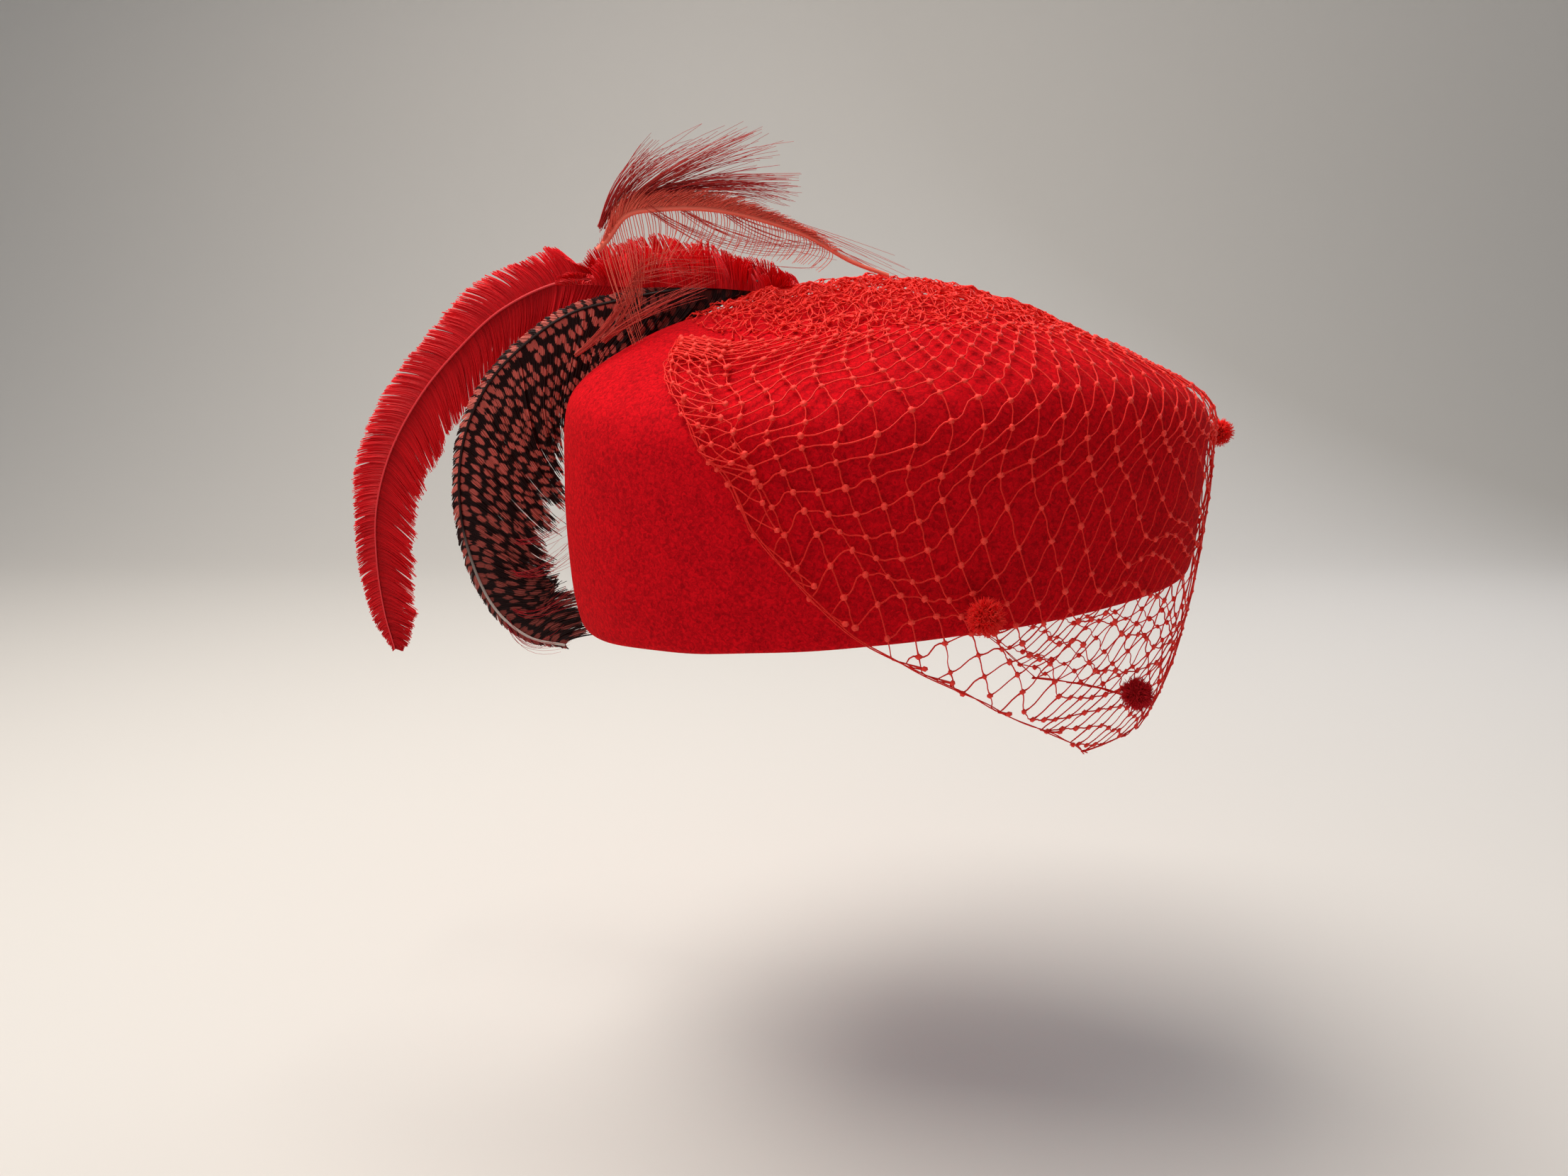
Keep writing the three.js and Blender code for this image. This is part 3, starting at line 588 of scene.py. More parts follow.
def angle_at(place, arc):
    """The angle at a place down the veil where that much cloth has passed, from the front."""
    level = np.clip(place, 0, HEM_ROW) / HEM_ROW * (len(levels) - 1)
    low = np.minimum(level.astype(int), len(levels) - 2)
    step = np.clip(arc / ARC_STEP, 0, ARC_COUNT - 2)
    left = step.astype(int)
    t, u = level - low, step - left
    near = ANGLE_TABLE[low, left] * (1 - u) + ANGLE_TABLE[low, left + 1] * u
    far = ANGLE_TABLE[low + 1, left] * (1 - u) + ANGLE_TABLE[low + 1, left + 1] * u
    return near * (1 - t) + far * t


# %% [markdown]
# Each knot of the net gets its place on that surface by the length of cloth round from the front,
# so the cells keep their size and the rear edge cuts across them as the real cut edge does. The
# cloth past that edge turns back over itself, which is why threads show doubled there. Slow noise
# lets the rows drift, every few rows they bunch up as soft folds do, and the middle of each side
# droops, because the net is held up at its ends. Between two knots, a thread is a short path with
# a slack S across it. A pair of threads runs along each rear edge, and one along the hem.

# %% Knots and threads of the veil
# How much cloth lies turned back at the rear edge, in mm, at places down the veil
TURNED_BACK = np.array([[0, 34], [3, 32], [5.5, 20], [7, 8], [11, 6]])
TURNED_LENGTH = 0.85                                   # share of its length that it keeps there
EDGE_THREADS = 2
HEM_THREADS = 2
THREAD_HALF = 0.29 * MM
SPARE_COLUMNS = 8
EDGE_STEPS = 120
# In half cells: slack of a thread, drift of the columns and rows, and how the rows bunch and droop
SLACK = 0.075
DRIFT_COLUMNS = 0.75
DRIFT_ROWS = 0.5
FOLD_EVERY = 8.0
FOLD_DEPTH = 0.75
DROOP_ROWS = 8.0
DROOP_SHARE = 0.5                                      # of the way round from the front
DROOP_SPREAD = 0.26
# In mm: how far the cloth bulges off the felt, waves where it hangs, and stands up at its fold
VEIL_BULGE, VEIL_WAVE, FOLD_THICK = 0.9, 1.8, 1.6


def diamond_ends(columns, rows):
    """Knots of a diamond net, both ends of every thread in half cells, and which way each leans."""
    column, row = np.meshgrid(columns, rows, indexing="ij")
    knots = np.stack([column, row], -1)[(column + row) % 2 == 1].astype(float)
    ends, side = [], []
    for step in (-1, 1):
        far = knots + [step, 1]
        inside = (far[:, 0] >= columns[0]) & (far[:, 0] <= columns[-1]) & (far[:, 1] <= rows[-1])
        ends.append(np.stack([knots[inside], far[inside]], 1))
        side.append(np.full(inside.sum(), float(step)))
    return np.concatenate(ends), np.concatenate(side)


def drift(column, row, seed):
    """Slow wandering of the net's own columns and rows, as shares of a half cell."""
    at = np.stack([column / 8.0, row / 6.0, np.full(column.shape, float(seed))], -1)
    return slow_noise(at, 1.0)


def veil_spot(column, row):
    """From a place in the net, in half cells from its top middle, to row, place, arc and edge arc."""
    down = np.clip(row / VEIL_HALF_ROWS, 0, 1)
    width = np.interp(down, SHARE_DOWN, WIDE_SHARE) * CELL_WIDE / 2
    arc = (column + drift(column, row, 3) * DRIFT_COLUMNS) * width
    share = np.abs(arc) / REAR_ARCS.max()
    droop = DROOP_ROWS * np.exp(-((share - DROOP_SHARE) / DROOP_SPREAD) ** 2)
    phase = 2 * math.pi * row / FOLD_EVERY + 0.16 * np.abs(column) + 3 * drift(column, row, 31)
    wander = drift(column, row, 7) * DRIFT_ROWS + np.sin(phase) * FOLD_DEPTH
    row = row + wander * np.sin(math.pi * down) + droop * np.sin(math.pi * down / 1.15)
    place = np.interp(row, np.arange(VEIL_HALF_ROWS + 1), ROW_PLACES)
    return row, place, arc, np.interp(place, levels, REAR_ARCS)


def veil_place(column, row):
    """From a place in the net to a point in space, turned back past the rear edge."""
    _, place, arc, edge = veil_spot(column, row)
    past = np.maximum(np.abs(arc) - edge, 0)
    side = np.sign(arc)
    arc = np.minimum(np.abs(arc), edge) - TURNED_LENGTH * past
    angle = side * angle_at(place, np.abs(arc))
    point = veil_surface(angle, place)
    normal = surface_normals(veil_surface, angle, np.clip(place, 0.05, HEM_ROW - 0.05), 0.03)
    outward = np.where(np.sum(normal * point, -1, keepdims=True) < 0, -normal, normal)
    bulge = (0.8 + drift(column, row, 15)) * VEIL_BULGE * MM
    hang = np.clip((place - LAST_ON_FELT) / 3, 0, 1)
    wave = hang * VEIL_WAVE * MM * drift(column, row, 21)
    fold = np.minimum(past * 0.25, FOLD_THICK * MM)
    return point + outward * (bulge * (1 - hang) + wave + fold)[..., None]


def in_veil(ends):
    """Which threads start above the hem and end before the edge of the turned-back cloth."""
    row, place, arc, edge = veil_spot(ends[..., 0], ends[..., 1])
    back = np.interp(place, *TURNED_BACK.T) * MM
    above = row.min(axis=1) < VEIL_HALF_ROWS - 0.05
    return above & (np.abs(arc) < edge + back).all(axis=1)


def veil_threads():
    """The net's knots, in half cells, and its threads as paths. A thread thickens at its knots."""
    half_count = int(REAR_ARCS.max() / (CELL_WIDE / 2 * WIDE_SHARE[0])) + SPARE_COLUMNS
    ends, side = diamond_ends(np.arange(-half_count, half_count + 1), np.arange(0, VEIL_HALF_ROWS + 1))
    kept = in_veil(ends)
    ends, side = ends[kept], side[kept]
    knots = np.unique(ends.reshape(-1, 2), axis=0)
    knots = knots[veil_spot(knots[:, 0], knots[:, 1])[0] < VEIL_HALF_ROWS + 0.2]
    t = np.linspace(0, 1, 7)
    path = ends[:, :1] + (ends[:, 1:] - ends[:, :1]) * t[None, :, None]
    slack = SLACK * random.uniform(0.1, 1.9, len(ends)) * side
    path[..., 0] += np.sin(2 * math.pi * t)[None, :] * slack[:, None]
    path[..., 1] += np.sin(2 * math.pi * t)[None, :] * slack[:, None] * 0.6
    lines = veil_place(path[..., 0], path[..., 1])
    near_knot = np.abs(2 * t - 1) ** 6
    width = THREAD_HALF * (1 + 0.7 * near_knot)[None, :] * random.uniform(0.85, 1.15, (len(ends), 1))
    tint = random.uniform(0, 1, (len(ends), 1, 1)) * np.ones(3)
    return knots, {"lines": lines, "width": width, "place": tint}


def edge_threads():
    """Threads drawn up along the two rear edges, where the net was cut and rolled in."""
    lines = []
    for side in (-1, 1):
        for number in range(EDGE_THREADS):
            place = np.linspace(0.15, HEM_ROW - 0.05, EDGE_STEPS)
            wave = np.stack([place * 1.7, np.full(EDGE_STEPS, side * 3.0),
                             np.full(EDGE_STEPS, number * 2.3)], -1)
            inset = (1.4 + 2.6 * slow_noise(wave, 1.0)) * MM + number * 0.4 * MM
            arc = np.interp(place, levels, REAR_ARCS) - inset
            line = veil_surface(side * angle_at(place, arc), place)
            lines.append(line + line / np.linalg.norm(line, axis=1, keepdims=True) * 1.2 * MM)
    return {"lines": np.array(lines), "width": THREAD_HALF * 0.9, "place": np.zeros(3)}


def hem_threads():
    """Threads that run along the hem from one rear edge to the other."""
    arc = np.linspace(-1, 1, 2 * EDGE_STEPS) * REAR_ARCS[-1]
    lines = []
    for number in range(HEM_THREADS):
        wave = np.stack([arc / (11 * MM), np.full(len(arc), number * 5.0), np.zeros(len(arc))], -1)
        place = HEM_ROW - 0.03 + 0.05 * slow_noise(wave, 1.0) - 0.05 * number
        place = np.minimum(place, HEM_ROW)
        lines.append(veil_surface(np.sign(arc) * angle_at(place, np.abs(arc)), place))
    return {"lines": np.array(lines), "width": THREAD_HALF * 1.1, "place": np.zeros(3)}


knot_grid, veil_paths = veil_threads()
knot_points = veil_place(knot_grid[:, 0], knot_grid[:, 1])
thread_length = np.linalg.norm(np.diff(veil_paths["lines"], axis=1), axis=2).sum()
print("knots:", len(knot_grid), "threads:", len(veil_paths["lines"]))
print("thread in the veil:", round(thread_length, 1), "m")

# %% [markdown]
# The net's thread is dyed viscose with a size that keeps it crisp. It is smoother than wool, so it
# is lighter and a little glossy. The knots and the crushed part get lighter copies of the same
# thread: painted light, the brightest on the knots because they stand up into the light, and a
# little less on the crushed part to make up for the shade among its layers. A fine noise at the size
# of the ply breaks the colour along each thread and roughens it.

# %% Net thread finish
THREAD_PLY = 0.5 * MM


def make_net_thread(name, deep, bright):
    material, tree, shader = start_material(name)
    place = add(tree, "ShaderNodeTexCoord").outputs["Object"]
    ply = add(tree, "ShaderNodeTexNoise", {"Vector": place, "Scale": 1 / THREAD_PLY, "Detail": 3.0})
    dye = ramp(tree, ply.outputs["Fac"], (0.3, deep), (0.72, bright))
    bump = add(tree, "ShaderNodeBump", {"Height": ply.outputs["Fac"], "Strength": 0.4,
                                        "Distance": 0.1 * MM})
    tree.links.new(bump.outputs["Normal"], shader.inputs["Normal"])
    set_surface(tree, shader, dye, 0.55, 0.14, 0.05, "#ff5040")
    return material


net_thread = make_net_thread("sized_net_thread", "#e01016", "#f83a2e")
# Painted light: the knots' copy of the thread is lighter because they stand up into the light
knot_thread_painted_light = make_net_thread("knotted_net_thread_painted_light", "#f82a28", "#ff5446")
# Painted light: the crushed mat's copy is lighter, to make up for the shade among its layers
crushed_thread_painted_light = make_net_thread("crushed_net_thread_painted_light", "#f01418", "#ff4638")
print("net finish:", net_thread.name)

# %% [markdown]
# A knot is a small flattened blob about 3 mm across, where four thread ends are drawn tight. A
# second Geometry Nodes tree puts one on every knot's point, turned so that it lies flat on the
# net, with a little variation in size from a fixed seed.

# %% The tree that places knots, and the finished veil
KNOT_HALF = 1.45 * MM
KNOT_SEED = 5
BESIDE = 0.3                                           # half cells, to feel which way the net lies


def make_knot_tree():
    tree, given = start_tree("knots_on_points", {"Half Width": "Float", "Seed": "Int"})
    points = add(tree, "GeometryNodeMeshToPoints", {"Mesh": given["Geometry"]})
    normal = add(tree, "GeometryNodeInputNamedAttribute", {"Name": "outward"}, data_type="FLOAT_VECTOR")
    turn = add(tree, "FunctionNodeAlignRotationToVector", {"Vector": normal.outputs["Attribute"]},
               axis="Z")
    blob = add(tree, "GeometryNodeMeshIcoSphere", {"Radius": given["Half Width"], "Subdivisions": 1})
    vary = add(tree, "FunctionNodeRandomValue", {"Min": (0.75, 0.75, 0.5), "Max": (1.2, 1.2, 0.6),
                                                 "Seed": given["Seed"]}, data_type="FLOAT_VECTOR")
    placed = add(tree, "GeometryNodeInstanceOnPoints", {
        "Points": points.outputs["Points"], "Instance": blob.outputs["Mesh"],
        "Rotation": turn.outputs["Rotation"], "Scale": vary.outputs["Value"]})
    return end_tree(tree, placed.outputs["Instances"], given["Material"])


knot_tree = make_knot_tree()


def knots_at(name, points, outward, half_width, material):
    """A knot on every point, flat against the way that is outward there."""
    source = mesh_object(name + "_points", points, [])
    source.data.attributes.new("outward", "FLOAT_VECTOR", "POINT").data.foreach_set(
        "vector", outward.ravel())
    values = {"Half Width": half_width, "Seed": KNOT_SEED, "Material": material}
    return run_tree(source, knot_tree, values, name)


def join(name, parts):
    """Several plain mesh objects become one, at the origin."""
    with bpy.context.temp_override(active_object=parts[0], selected_editable_objects=parts):
        bpy.ops.object.join()
    parts[0].name = name
    parts[0].data.name = name
    return parts[0]


knot_across = veil_place(knot_grid[:, 0] + BESIDE, knot_grid[:, 1]) - knot_points
knot_down = veil_place(knot_grid[:, 0], knot_grid[:, 1] + BESIDE) - knot_points
veil_lines = strands("veil_threads", [veil_paths, edge_threads(), hem_threads()], 4, net_thread)
veil_knots = knots_at("veil_knots", knot_points, np.cross(knot_across, knot_down), KNOT_HALF,
                      knot_thread_painted_light)
veil = join("diamond_veil", [veil_lines, veil_knots])
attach(veil, "root")
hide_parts("veil_net")
thread_face = thread_length * math.pi * THREAD_HALF
print("thread's own face:", round(thread_face, 4), "square metres")

# %% [markdown]
# On top, the rest of the net is crushed by hand and tacked down in several layers, so its cells
# close up to a few millimetres and the threads make a crumpled mat. Here four small nets are laid
# one above the other in plan, each turned and wandering in its own way. A ray straight down finds
# the felt under every point, and a ridged noise lifts the mat into small crests. The threads thin
# out towards the rim of the mat, which ends sooner at the back.

# %% Crushed net on the crown
GATHER_SECTION = 8.42
GATHER_LIFT = 0.75 * MM
GATHER_CREST = 3.6 * MM
GATHER_THREAD_HALF = 0.25 * MM
# Each layer: turned by degrees, half cell across and along, and its height over the felt, in mm
GATHER_LAYERS = np.array([
    [8, 3.6, 5.0, 0.2],
    [38, 3.4, 4.8, 1.0],
    [-27, 3.7, 5.3, 1.8],
    [70, 3.5, 5.0, 2.4],
])
GATHER_SPAN = 0.13
THREAD_SHAPE = np.array([2.8, 1.0, 0.9, 0.9, 1.0, 2.8])  # thickness along a thread, knot to knot
BUCKLE = 1.5                                           # mm that a thread leaves its straight way
# In mm: size and depth of each layer's wandering, size of the crests and of the fine crumples
WANDER_SIZE, WANDER_DEPTH, CREST_SIZE, CRUMPLE_SIZE, CRUMPLE_DEPTH = 9, 4.2, 13, 4, 0.9
SKY = 0.5                                              # metres up, where the rays start
# The mat's edge as a share of its section, how much sooner it ends behind, and how softly it fades
MAT_EDGE, SHORTER_BEHIND, MAT_FADE = 0.98, 0.2, 0.16
BEHIND_FROM, BEHIND_FADE = 2.1, 0.5                    # radians round from the front


def top_of(tree, points):
    """Height of a surface straight under or over each point, or nothing where there is none."""
    hits = [tree.ray_cast(Vector((x, y, SKY)), Vector((0, 0, -1)))[0]
            for x, y in points[..., :2].reshape(-1, 2)]
    return np.array([hit.z if hit else np.nan for hit in hits]).reshape(points.shape[:-1])


def section_share(points, section):
    """How far out a point lies in plan: 0 in the middle of that section and 1 on its outline."""
    front, side, back = blend_rows(CROWN_ROWS, np.array(float(section)))[:3]
    along = (points[..., 0] - (front - back) / 2) / ((front + back) / 2)
    across = points[..., 1] / (side * (1 - FRONT_TAPER * np.clip(along, -1, 1)))
    return np.sqrt(along ** 2 + across ** 2)


def crushed_layer(number, turn, wide, high, lift):
    """The threads of one crushed layer, as short lines that are thick where they knot."""
    counts = [int(GATHER_SPAN / (half_cell * MM)) for half_cell in (wide, high)]
    ends, _ = diamond_ends(*(np.arange(-count, count + 1) for count in counts))
    t = np.linspace(0, 1, len(THREAD_SHAPE))
    path = (ends[:, :1] + (ends[:, 1:] - ends[:, :1]) * t[None, :, None]) * [wide * MM, high * MM]
    aside = random.uniform(-BUCKLE, BUCKLE, (len(path), 1, 2))
    path += np.sin(math.pi * t)[None, :, None] * aside * MM
    turn = math.radians(turn)
    flat = path @ np.array([[math.cos(turn), math.sin(turn)], [-math.sin(turn), math.cos(turn)]])
    at = np.concatenate([flat, np.full(flat.shape[:-1] + (1,), number * 0.05)], -1)
    wander = np.stack([slow_noise(at, WANDER_SIZE * MM, seed) for seed in (5.0, 9.0)], -1)
    flat = flat + wander * WANDER_DEPTH * MM
    flat[..., 0] += CROWN_SHIFT
    out = section_share(flat, GATHER_SECTION).max(axis=1)
    way = np.arctan2(flat[:, 2, 1], flat[:, 2, 0])
    behind = np.clip((np.abs(way) - BEHIND_FROM) / BEHIND_FADE, 0, 1)
    uneven = 0.05 * np.sin(7 * way + number)
    limit = MAT_EDGE - SHORTER_BEHIND * behind + uneven - 0.06 * number
    chance = np.clip(1 - (out - limit) / MAT_FADE, 0, 1)
    flat = flat[random.uniform(0, 1, len(flat)) < chance]
    share = np.clip(section_share(flat, GATHER_SECTION), 0, 1)
    at = np.concatenate([flat, np.full(flat.shape[:-1] + (1,), 0.4)], -1)
    ridge = 1 - np.abs(slow_noise(at, CREST_SIZE * MM, 2.0)) * 2.4
    crumple = CRUMPLE_DEPTH * MM * slow_noise(at, CRUMPLE_SIZE * MM, 31.0 + number)
    mound = (1 - share ** 2.5) * (lift * MM + GATHER_CREST * np.clip(ridge, 0, 1)) + crumple
    up = top_of(felt_tree, flat) + GATHER_LIFT + np.maximum(mound, -0.2 * MM)
    lines = np.concatenate([flat, up[..., None]], -1)
    lines = lines[~np.isnan(lines).any(axis=(1, 2))]
    tint = random.uniform(0, 1, (len(lines), 1, 1)) * np.ones(3)
    return {"lines": lines, "width": GATHER_THREAD_HALF * THREAD_SHAPE, "place": tint}


CROWN_SHIFT = (blend_rows(CROWN_ROWS, np.array(GATHER_SECTION))[[0, 2]] * [0.5, -0.5]).sum()
layers = [crushed_layer(number, *row) for number, row in enumerate(GATHER_LAYERS)]
gathers = strands("crushed_net", layers, 3, crushed_thread_painted_light)
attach(gathers, "root")
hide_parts("net_gathers")
print("threads in the crushed net:", sum(len(layer["lines"]) for layer in layers))

# %% [markdown]
# A feather is a shaft with a vane of barbs on each side. The barbs cling to each other in locks,
# and where they let go the vane splits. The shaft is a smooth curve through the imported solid's
# own rows. A barb leaves it at an angle towards the tip and bends, and its length follows the
# vane's outline, so the whole feather comes from one short table and a few angles.

# %% Shafts and barbs
FEATHER_FACE = np.array([0.0, -1.0, 0.0])
SEAT_CLEARANCE = 0.55 * MM
GATHER_THICK = 4.6 * MM
SHAFT_STEP = 2.5 * MM
# A barb stays this far off the felt, and clear of the crushed net within that share of its outline
FELT_GAP = 0.6 * MM
FELT_NEAR = 60 * MM
NET_ABOVE = 60 * MM
ON_NET_SHARE = 0.86
SHORTEST_BARB = 0.7 * MM


def smooth_curve(points, count):
    """Many points on a centripetal curve through a few, and where each lies in their table."""
    ends = np.vstack([2 * points[0] - points[1], points, 2 * points[-1] - points[-2]])
    place = np.linspace(0, len(points) - 1, count)
    low = np.minimum(place.astype(int), len(points) - 2)
    t = (place - low)[:, None]
    p0, p1, p2, p3 = (ends[low + step] for step in range(4))
    d0, d1, d2 = (np.linalg.norm(b - a, axis=1, keepdims=True) ** 0.5
                  for a, b in ((p0, p1), (p1, p2), (p2, p3)))
    m1 = ((p1 - p0) / d0 - (p2 - p0) / (d0 + d1) + (p2 - p1) / d1) * d1
    m2 = ((p2 - p1) / d1 - (p3 - p1) / (d1 + d2) + (p3 - p2) / d2) * d1
    curve = ((2 * p1 - 2 * p2 + m1 + m2) * t + (3 * p2 - 3 * p1 - 2 * m1 - m2)) * t + m1
    return curve * t + p1, place


def even_curve(points, spacing):
    """The same curve cut into equal steps: points, places in the table and lengths passed."""
    fine, place = smooth_curve(points, 1200)
    length = np.concatenate([[0], np.cumsum(np.linalg.norm(np.diff(fine, axis=0), axis=1))])
    even = np.linspace(0, length[-1], max(2, int(length[-1] / spacing)))
    line = np.stack([np.interp(even, length, fine[:, i]) for i in range(3)], -1)
    return line, np.interp(even, length, place), even


def seat_rows(rows, reach, rise, side, inner_reach):
    """Shaft points from a table of back, up, outer and inner shares. A first row without a height
    is seated on the crushed net."""
    points = np.stack([-rows[:, 0] * reach, np.full(len(rows), side), rows[:, 1] * rise], -1)
    seat = top_of(felt_tree, points[:1])[0] + GATHER_LIFT + GATHER_THICK
    under = max(1.5 * MM, rows[0, 3] * inner_reach)
    points[0, 2] = seat + SEAT_CLEARANCE + under if np.isnan(rows[0, 1]) else points[0, 2]
    return points


def lock_table(length, smallest, largest, seed):
    """Cuts a length into locks: their edges, and a random number for each."""
    chance = np.random.default_rng(seed)
    cuts = np.cumsum(chance.uniform(smallest, largest, int(length / smallest) + 2))
    return np.concatenate([[0], cuts]), chance.uniform(-1, 1, len(cuts) + 1)


def keep_off_felt(lines):
    """Moves what would lie in the felt, or in the crushed net on it, straight out of them."""
    flat = lines.reshape(-1, 3).copy()
    on_net = np.clip((ON_NET_SHARE - section_share(flat, GATHER_SECTION)) * 5, 0, 1)
    on_net = on_net * (flat[:, 2] > NET_ABOVE)
    wanted = FELT_GAP + on_net * GATHER_THICK
    for i, point in enumerate(flat):
        hit, normal, _, _ = skin_tree.find_nearest(Vector(point), FELT_NEAR)
        if hit and (Vector(point) - hit).dot(normal) < wanted[i]:
            flat[i] = hit + normal * wanted[i]
    return flat.reshape(lines.shape)


def barbs(points, rows, side, sizes, seed):
    """The barbs on one side of a shaft. side is 1 for outer and -1 for inner. Each point of a barb
    is set so far along the shaft and so far out, so that the vane keeps its width in a bend. cling
    pulls a barb to the middle of its lock, cup and loft set it off the vane's plane, and follow is
    how much its place along the feather moves with its lean, for the finish to read."""
    chance = np.random.default_rng(seed)
    middle, place, along = even_curve(points, sizes["spacing"])
    tangent = np.gradient(middle, axis=0)
    tangent /= np.linalg.norm(tangent, axis=1, keepdims=True)
    outward = np.cross(tangent, FEATHER_FACE) * side
    outward /= np.linalg.norm(outward, axis=1, keepdims=True)
    reach = np.interp(place, np.arange(len(rows)), rows[:, sizes["column"]]) * sizes["reach"]
    for at, half, share in sizes["notches"]:
        reach = reach * (1 - share * np.exp(-((middle[:, 0] - at) / half) ** 2))
    cuts, lock_chance = lock_table(along[-1], *sizes["locks"], seed)
    lock = np.searchsorted(cuts, along, side="right") - 1
    centre = (cuts[lock] + cuts[lock + 1]) / 2
    uneven = 0.6 * lock_chance[lock] + chance.normal(0, 0.35, len(reach))
    reach = reach * (1 + sizes["ragged"] * uneven)
    u = np.linspace(0, 1, sizes["steps"])[None, :]
    lean = 1 / math.tan(math.radians(sizes["angle"]))
    pull = (centre - along + 0.35 * (cuts[lock + 1] - cuts[lock]) * lock_chance[lock]) * sizes["cling"]
    forward = reach[:, None] * lean * u ** 1.5 + pull[:, None] * u ** 2
    forward += chance.normal(0, sizes["stray"], len(reach))[:, None] * u ** 2
    depth = sizes["cup"] * reach[:, None] * u ** 2
    depth += sizes["loft"] * (lock_chance[lock] + chance.normal(0, 0.5, len(reach)))[:, None] * u
    bend = u ** 0.95
    if sizes["ruffle"]:
        first, last, wave, curl = sizes["ruffle"]
        crest = np.clip((place - first) * 3, 0, 1) * np.clip((last - place) * 2.2, 0, 1)
        swing = np.sin(2 * math.pi * along / wave + 1.2 * np.sin(along / wave))
        depth += (crest * (swing * curl - 0.6 * curl))[:, None] * u ** 1.6
        forward += (crest * np.cos(2 * math.pi * along / wave) * 2.5 * MM)[:, None] * u ** 2
        reach = reach * (1 + 0.16 * crest * np.sin(2 * math.pi * along / wave * 0.5 + 0.8))
    spot = along[:, None] + forward
    inside = np.clip(spot, 0, along[-1])
    base, ahead, away = (np.stack([np.interp(inside, along, values[:, i]) for i in range(3)], -1)
                         for values in (middle, tangent, outward))
    lines = base + ahead * (spot - inside)[..., None] + away * (reach[:, None] * bend)[..., None]
    lines = lines - FEATHER_FACE * depth[..., None]
    width = sizes["half_width"] * (1 - 0.4 * u ** 2) * chance.uniform(0.8, 1.2, (len(reach), 1))
    follow = np.interp(along / along[-1], [0, 0.4, 0.7], [1.0, 0.8, sizes["follow"]])
    where = np.stack([along[:, None] + forward * follow[:, None], reach[:, None] * bend,
                      np.broadcast_to(chance.uniform(0, 1, (len(reach), 1)), forward.shape)], -1)
    long_enough = reach > SHORTEST_BARB
    return {"lines": keep_off_felt(lines[long_enough]), "width": width[long_enough],
            "place": where[long_enough]}


def bunch(row, side, seed, half_width=0.18 * MM):
    """Strands along one bent path, close together at the start and spread at the end."""
    chance = np.random.default_rng(seed)
    x0, z0, x1, z1, x2, z2, spread, count = row
    count = int(count)
    u = np.linspace(0, 1, 9)[None, :, None]
    start, middle, end = (np.array([x, 0, z]) * MM for x, z in ((x0, z0), (x1, z1), (x2, z2)))
    through = 2 * middle - (start + end) / 2
    path = (1 - u) ** 2 * start + 2 * u * (1 - u) * through + u ** 2 * end
    scatter = chance.normal(0, 1, (count, 1, 3)) * [1, 0.8, 1] * spread * MM
    wander = chance.normal(0, 1, (count, 1, 3)) * spread * 0.3 * MM
    length = chance.uniform(0.78, 1.05, (count, 1, 1))
    spread_out = scatter * (0.2 + 0.5 * u ** 1.6)
    lines = start + (path - start) * length + spread_out + wander * np.sin(math.pi * u)
    where = np.concatenate([u, u * 0 + 0.3, u * 0], -1)
    where = where + chance.uniform(0, 0.5, (count, 1, 1)) * [0, 0, 1]
    return {"lines": lines + [0, side, 0], "width": half_width * (1 - 0.6 * u[..., 0]), "place": where}


def shaft_line(points, start_half, end_half):
    """The shaft as one line. Its place.y is below zero, which tells it from the barbs."""
    line, _, along = even_curve(points, SHAFT_STEP)
    width = np.linspace(start_half, end_half, len(line))
    where = np.stack([along, np.full(len(line), -1.0), np.linspace(0, 1, len(line))], -1)
    return {"lines": line[None], "width": width[None], "place": where[None]}


# %% [markdown]
# The curled plume is a goose feather, dyed red and curled over steam. From the crown it runs back
# along the crest and then falls in a wide arc. Its outer vane is frayed into small locks, and on
# the crest three ruffled layers of longer barbs curl forward and catch the light. The finish is
# dyed keratin: a soft sheen, barbs that are darker near the shaft, and a shaft that is paler.

# %% Curled plume
PLUME_REACH = 224 * MM
PLUME_RISE = 135.5 * MM
PLUME_SIDE = 24 * MM
PLUME_OUTER = 15 * MM
PLUME_INNER = 19 * MM
# back, up, outer and inner, as shares of the reach, the rise and the two vanes
PLUME_ROWS = np.array([
    [0.110, np.nan, 0.40, 0.10],
    [0.200, 0.985, 0.80, 0.35],
    [0.295, 0.996, 1.05, 0.70],
    [0.430, 0.998, 1.20, 1.00],
    [0.576, 1.000, 0.92, 1.10],
    [0.705, 0.912, 1.06, 0.95],
    [0.803, 0.775, 0.95, 1.00],
    [0.888, 0.616, 0.98, 1.02],
    [0.956, 0.427, 0.95, 0.92],
    [0.992, 0.240, 0.70, 0.86],
    [1.000, 0.060, 0.62, 0.80],
    [0.992, -0.130, 0.45, 0.62],
    [0.976, -0.262, 0.10, 0.16],
])


def start_barbs(name):
    """A material that reads the place stored on the strands, as its three parts."""
    material, tree, shader = start_material(name)
    place = add(tree, "ShaderNodeAttribute", attribute_name="place").outputs["Vector"]
    return material, tree, shader, add(tree, "ShaderNodeSeparateXYZ", {"Vector": place}).outputs


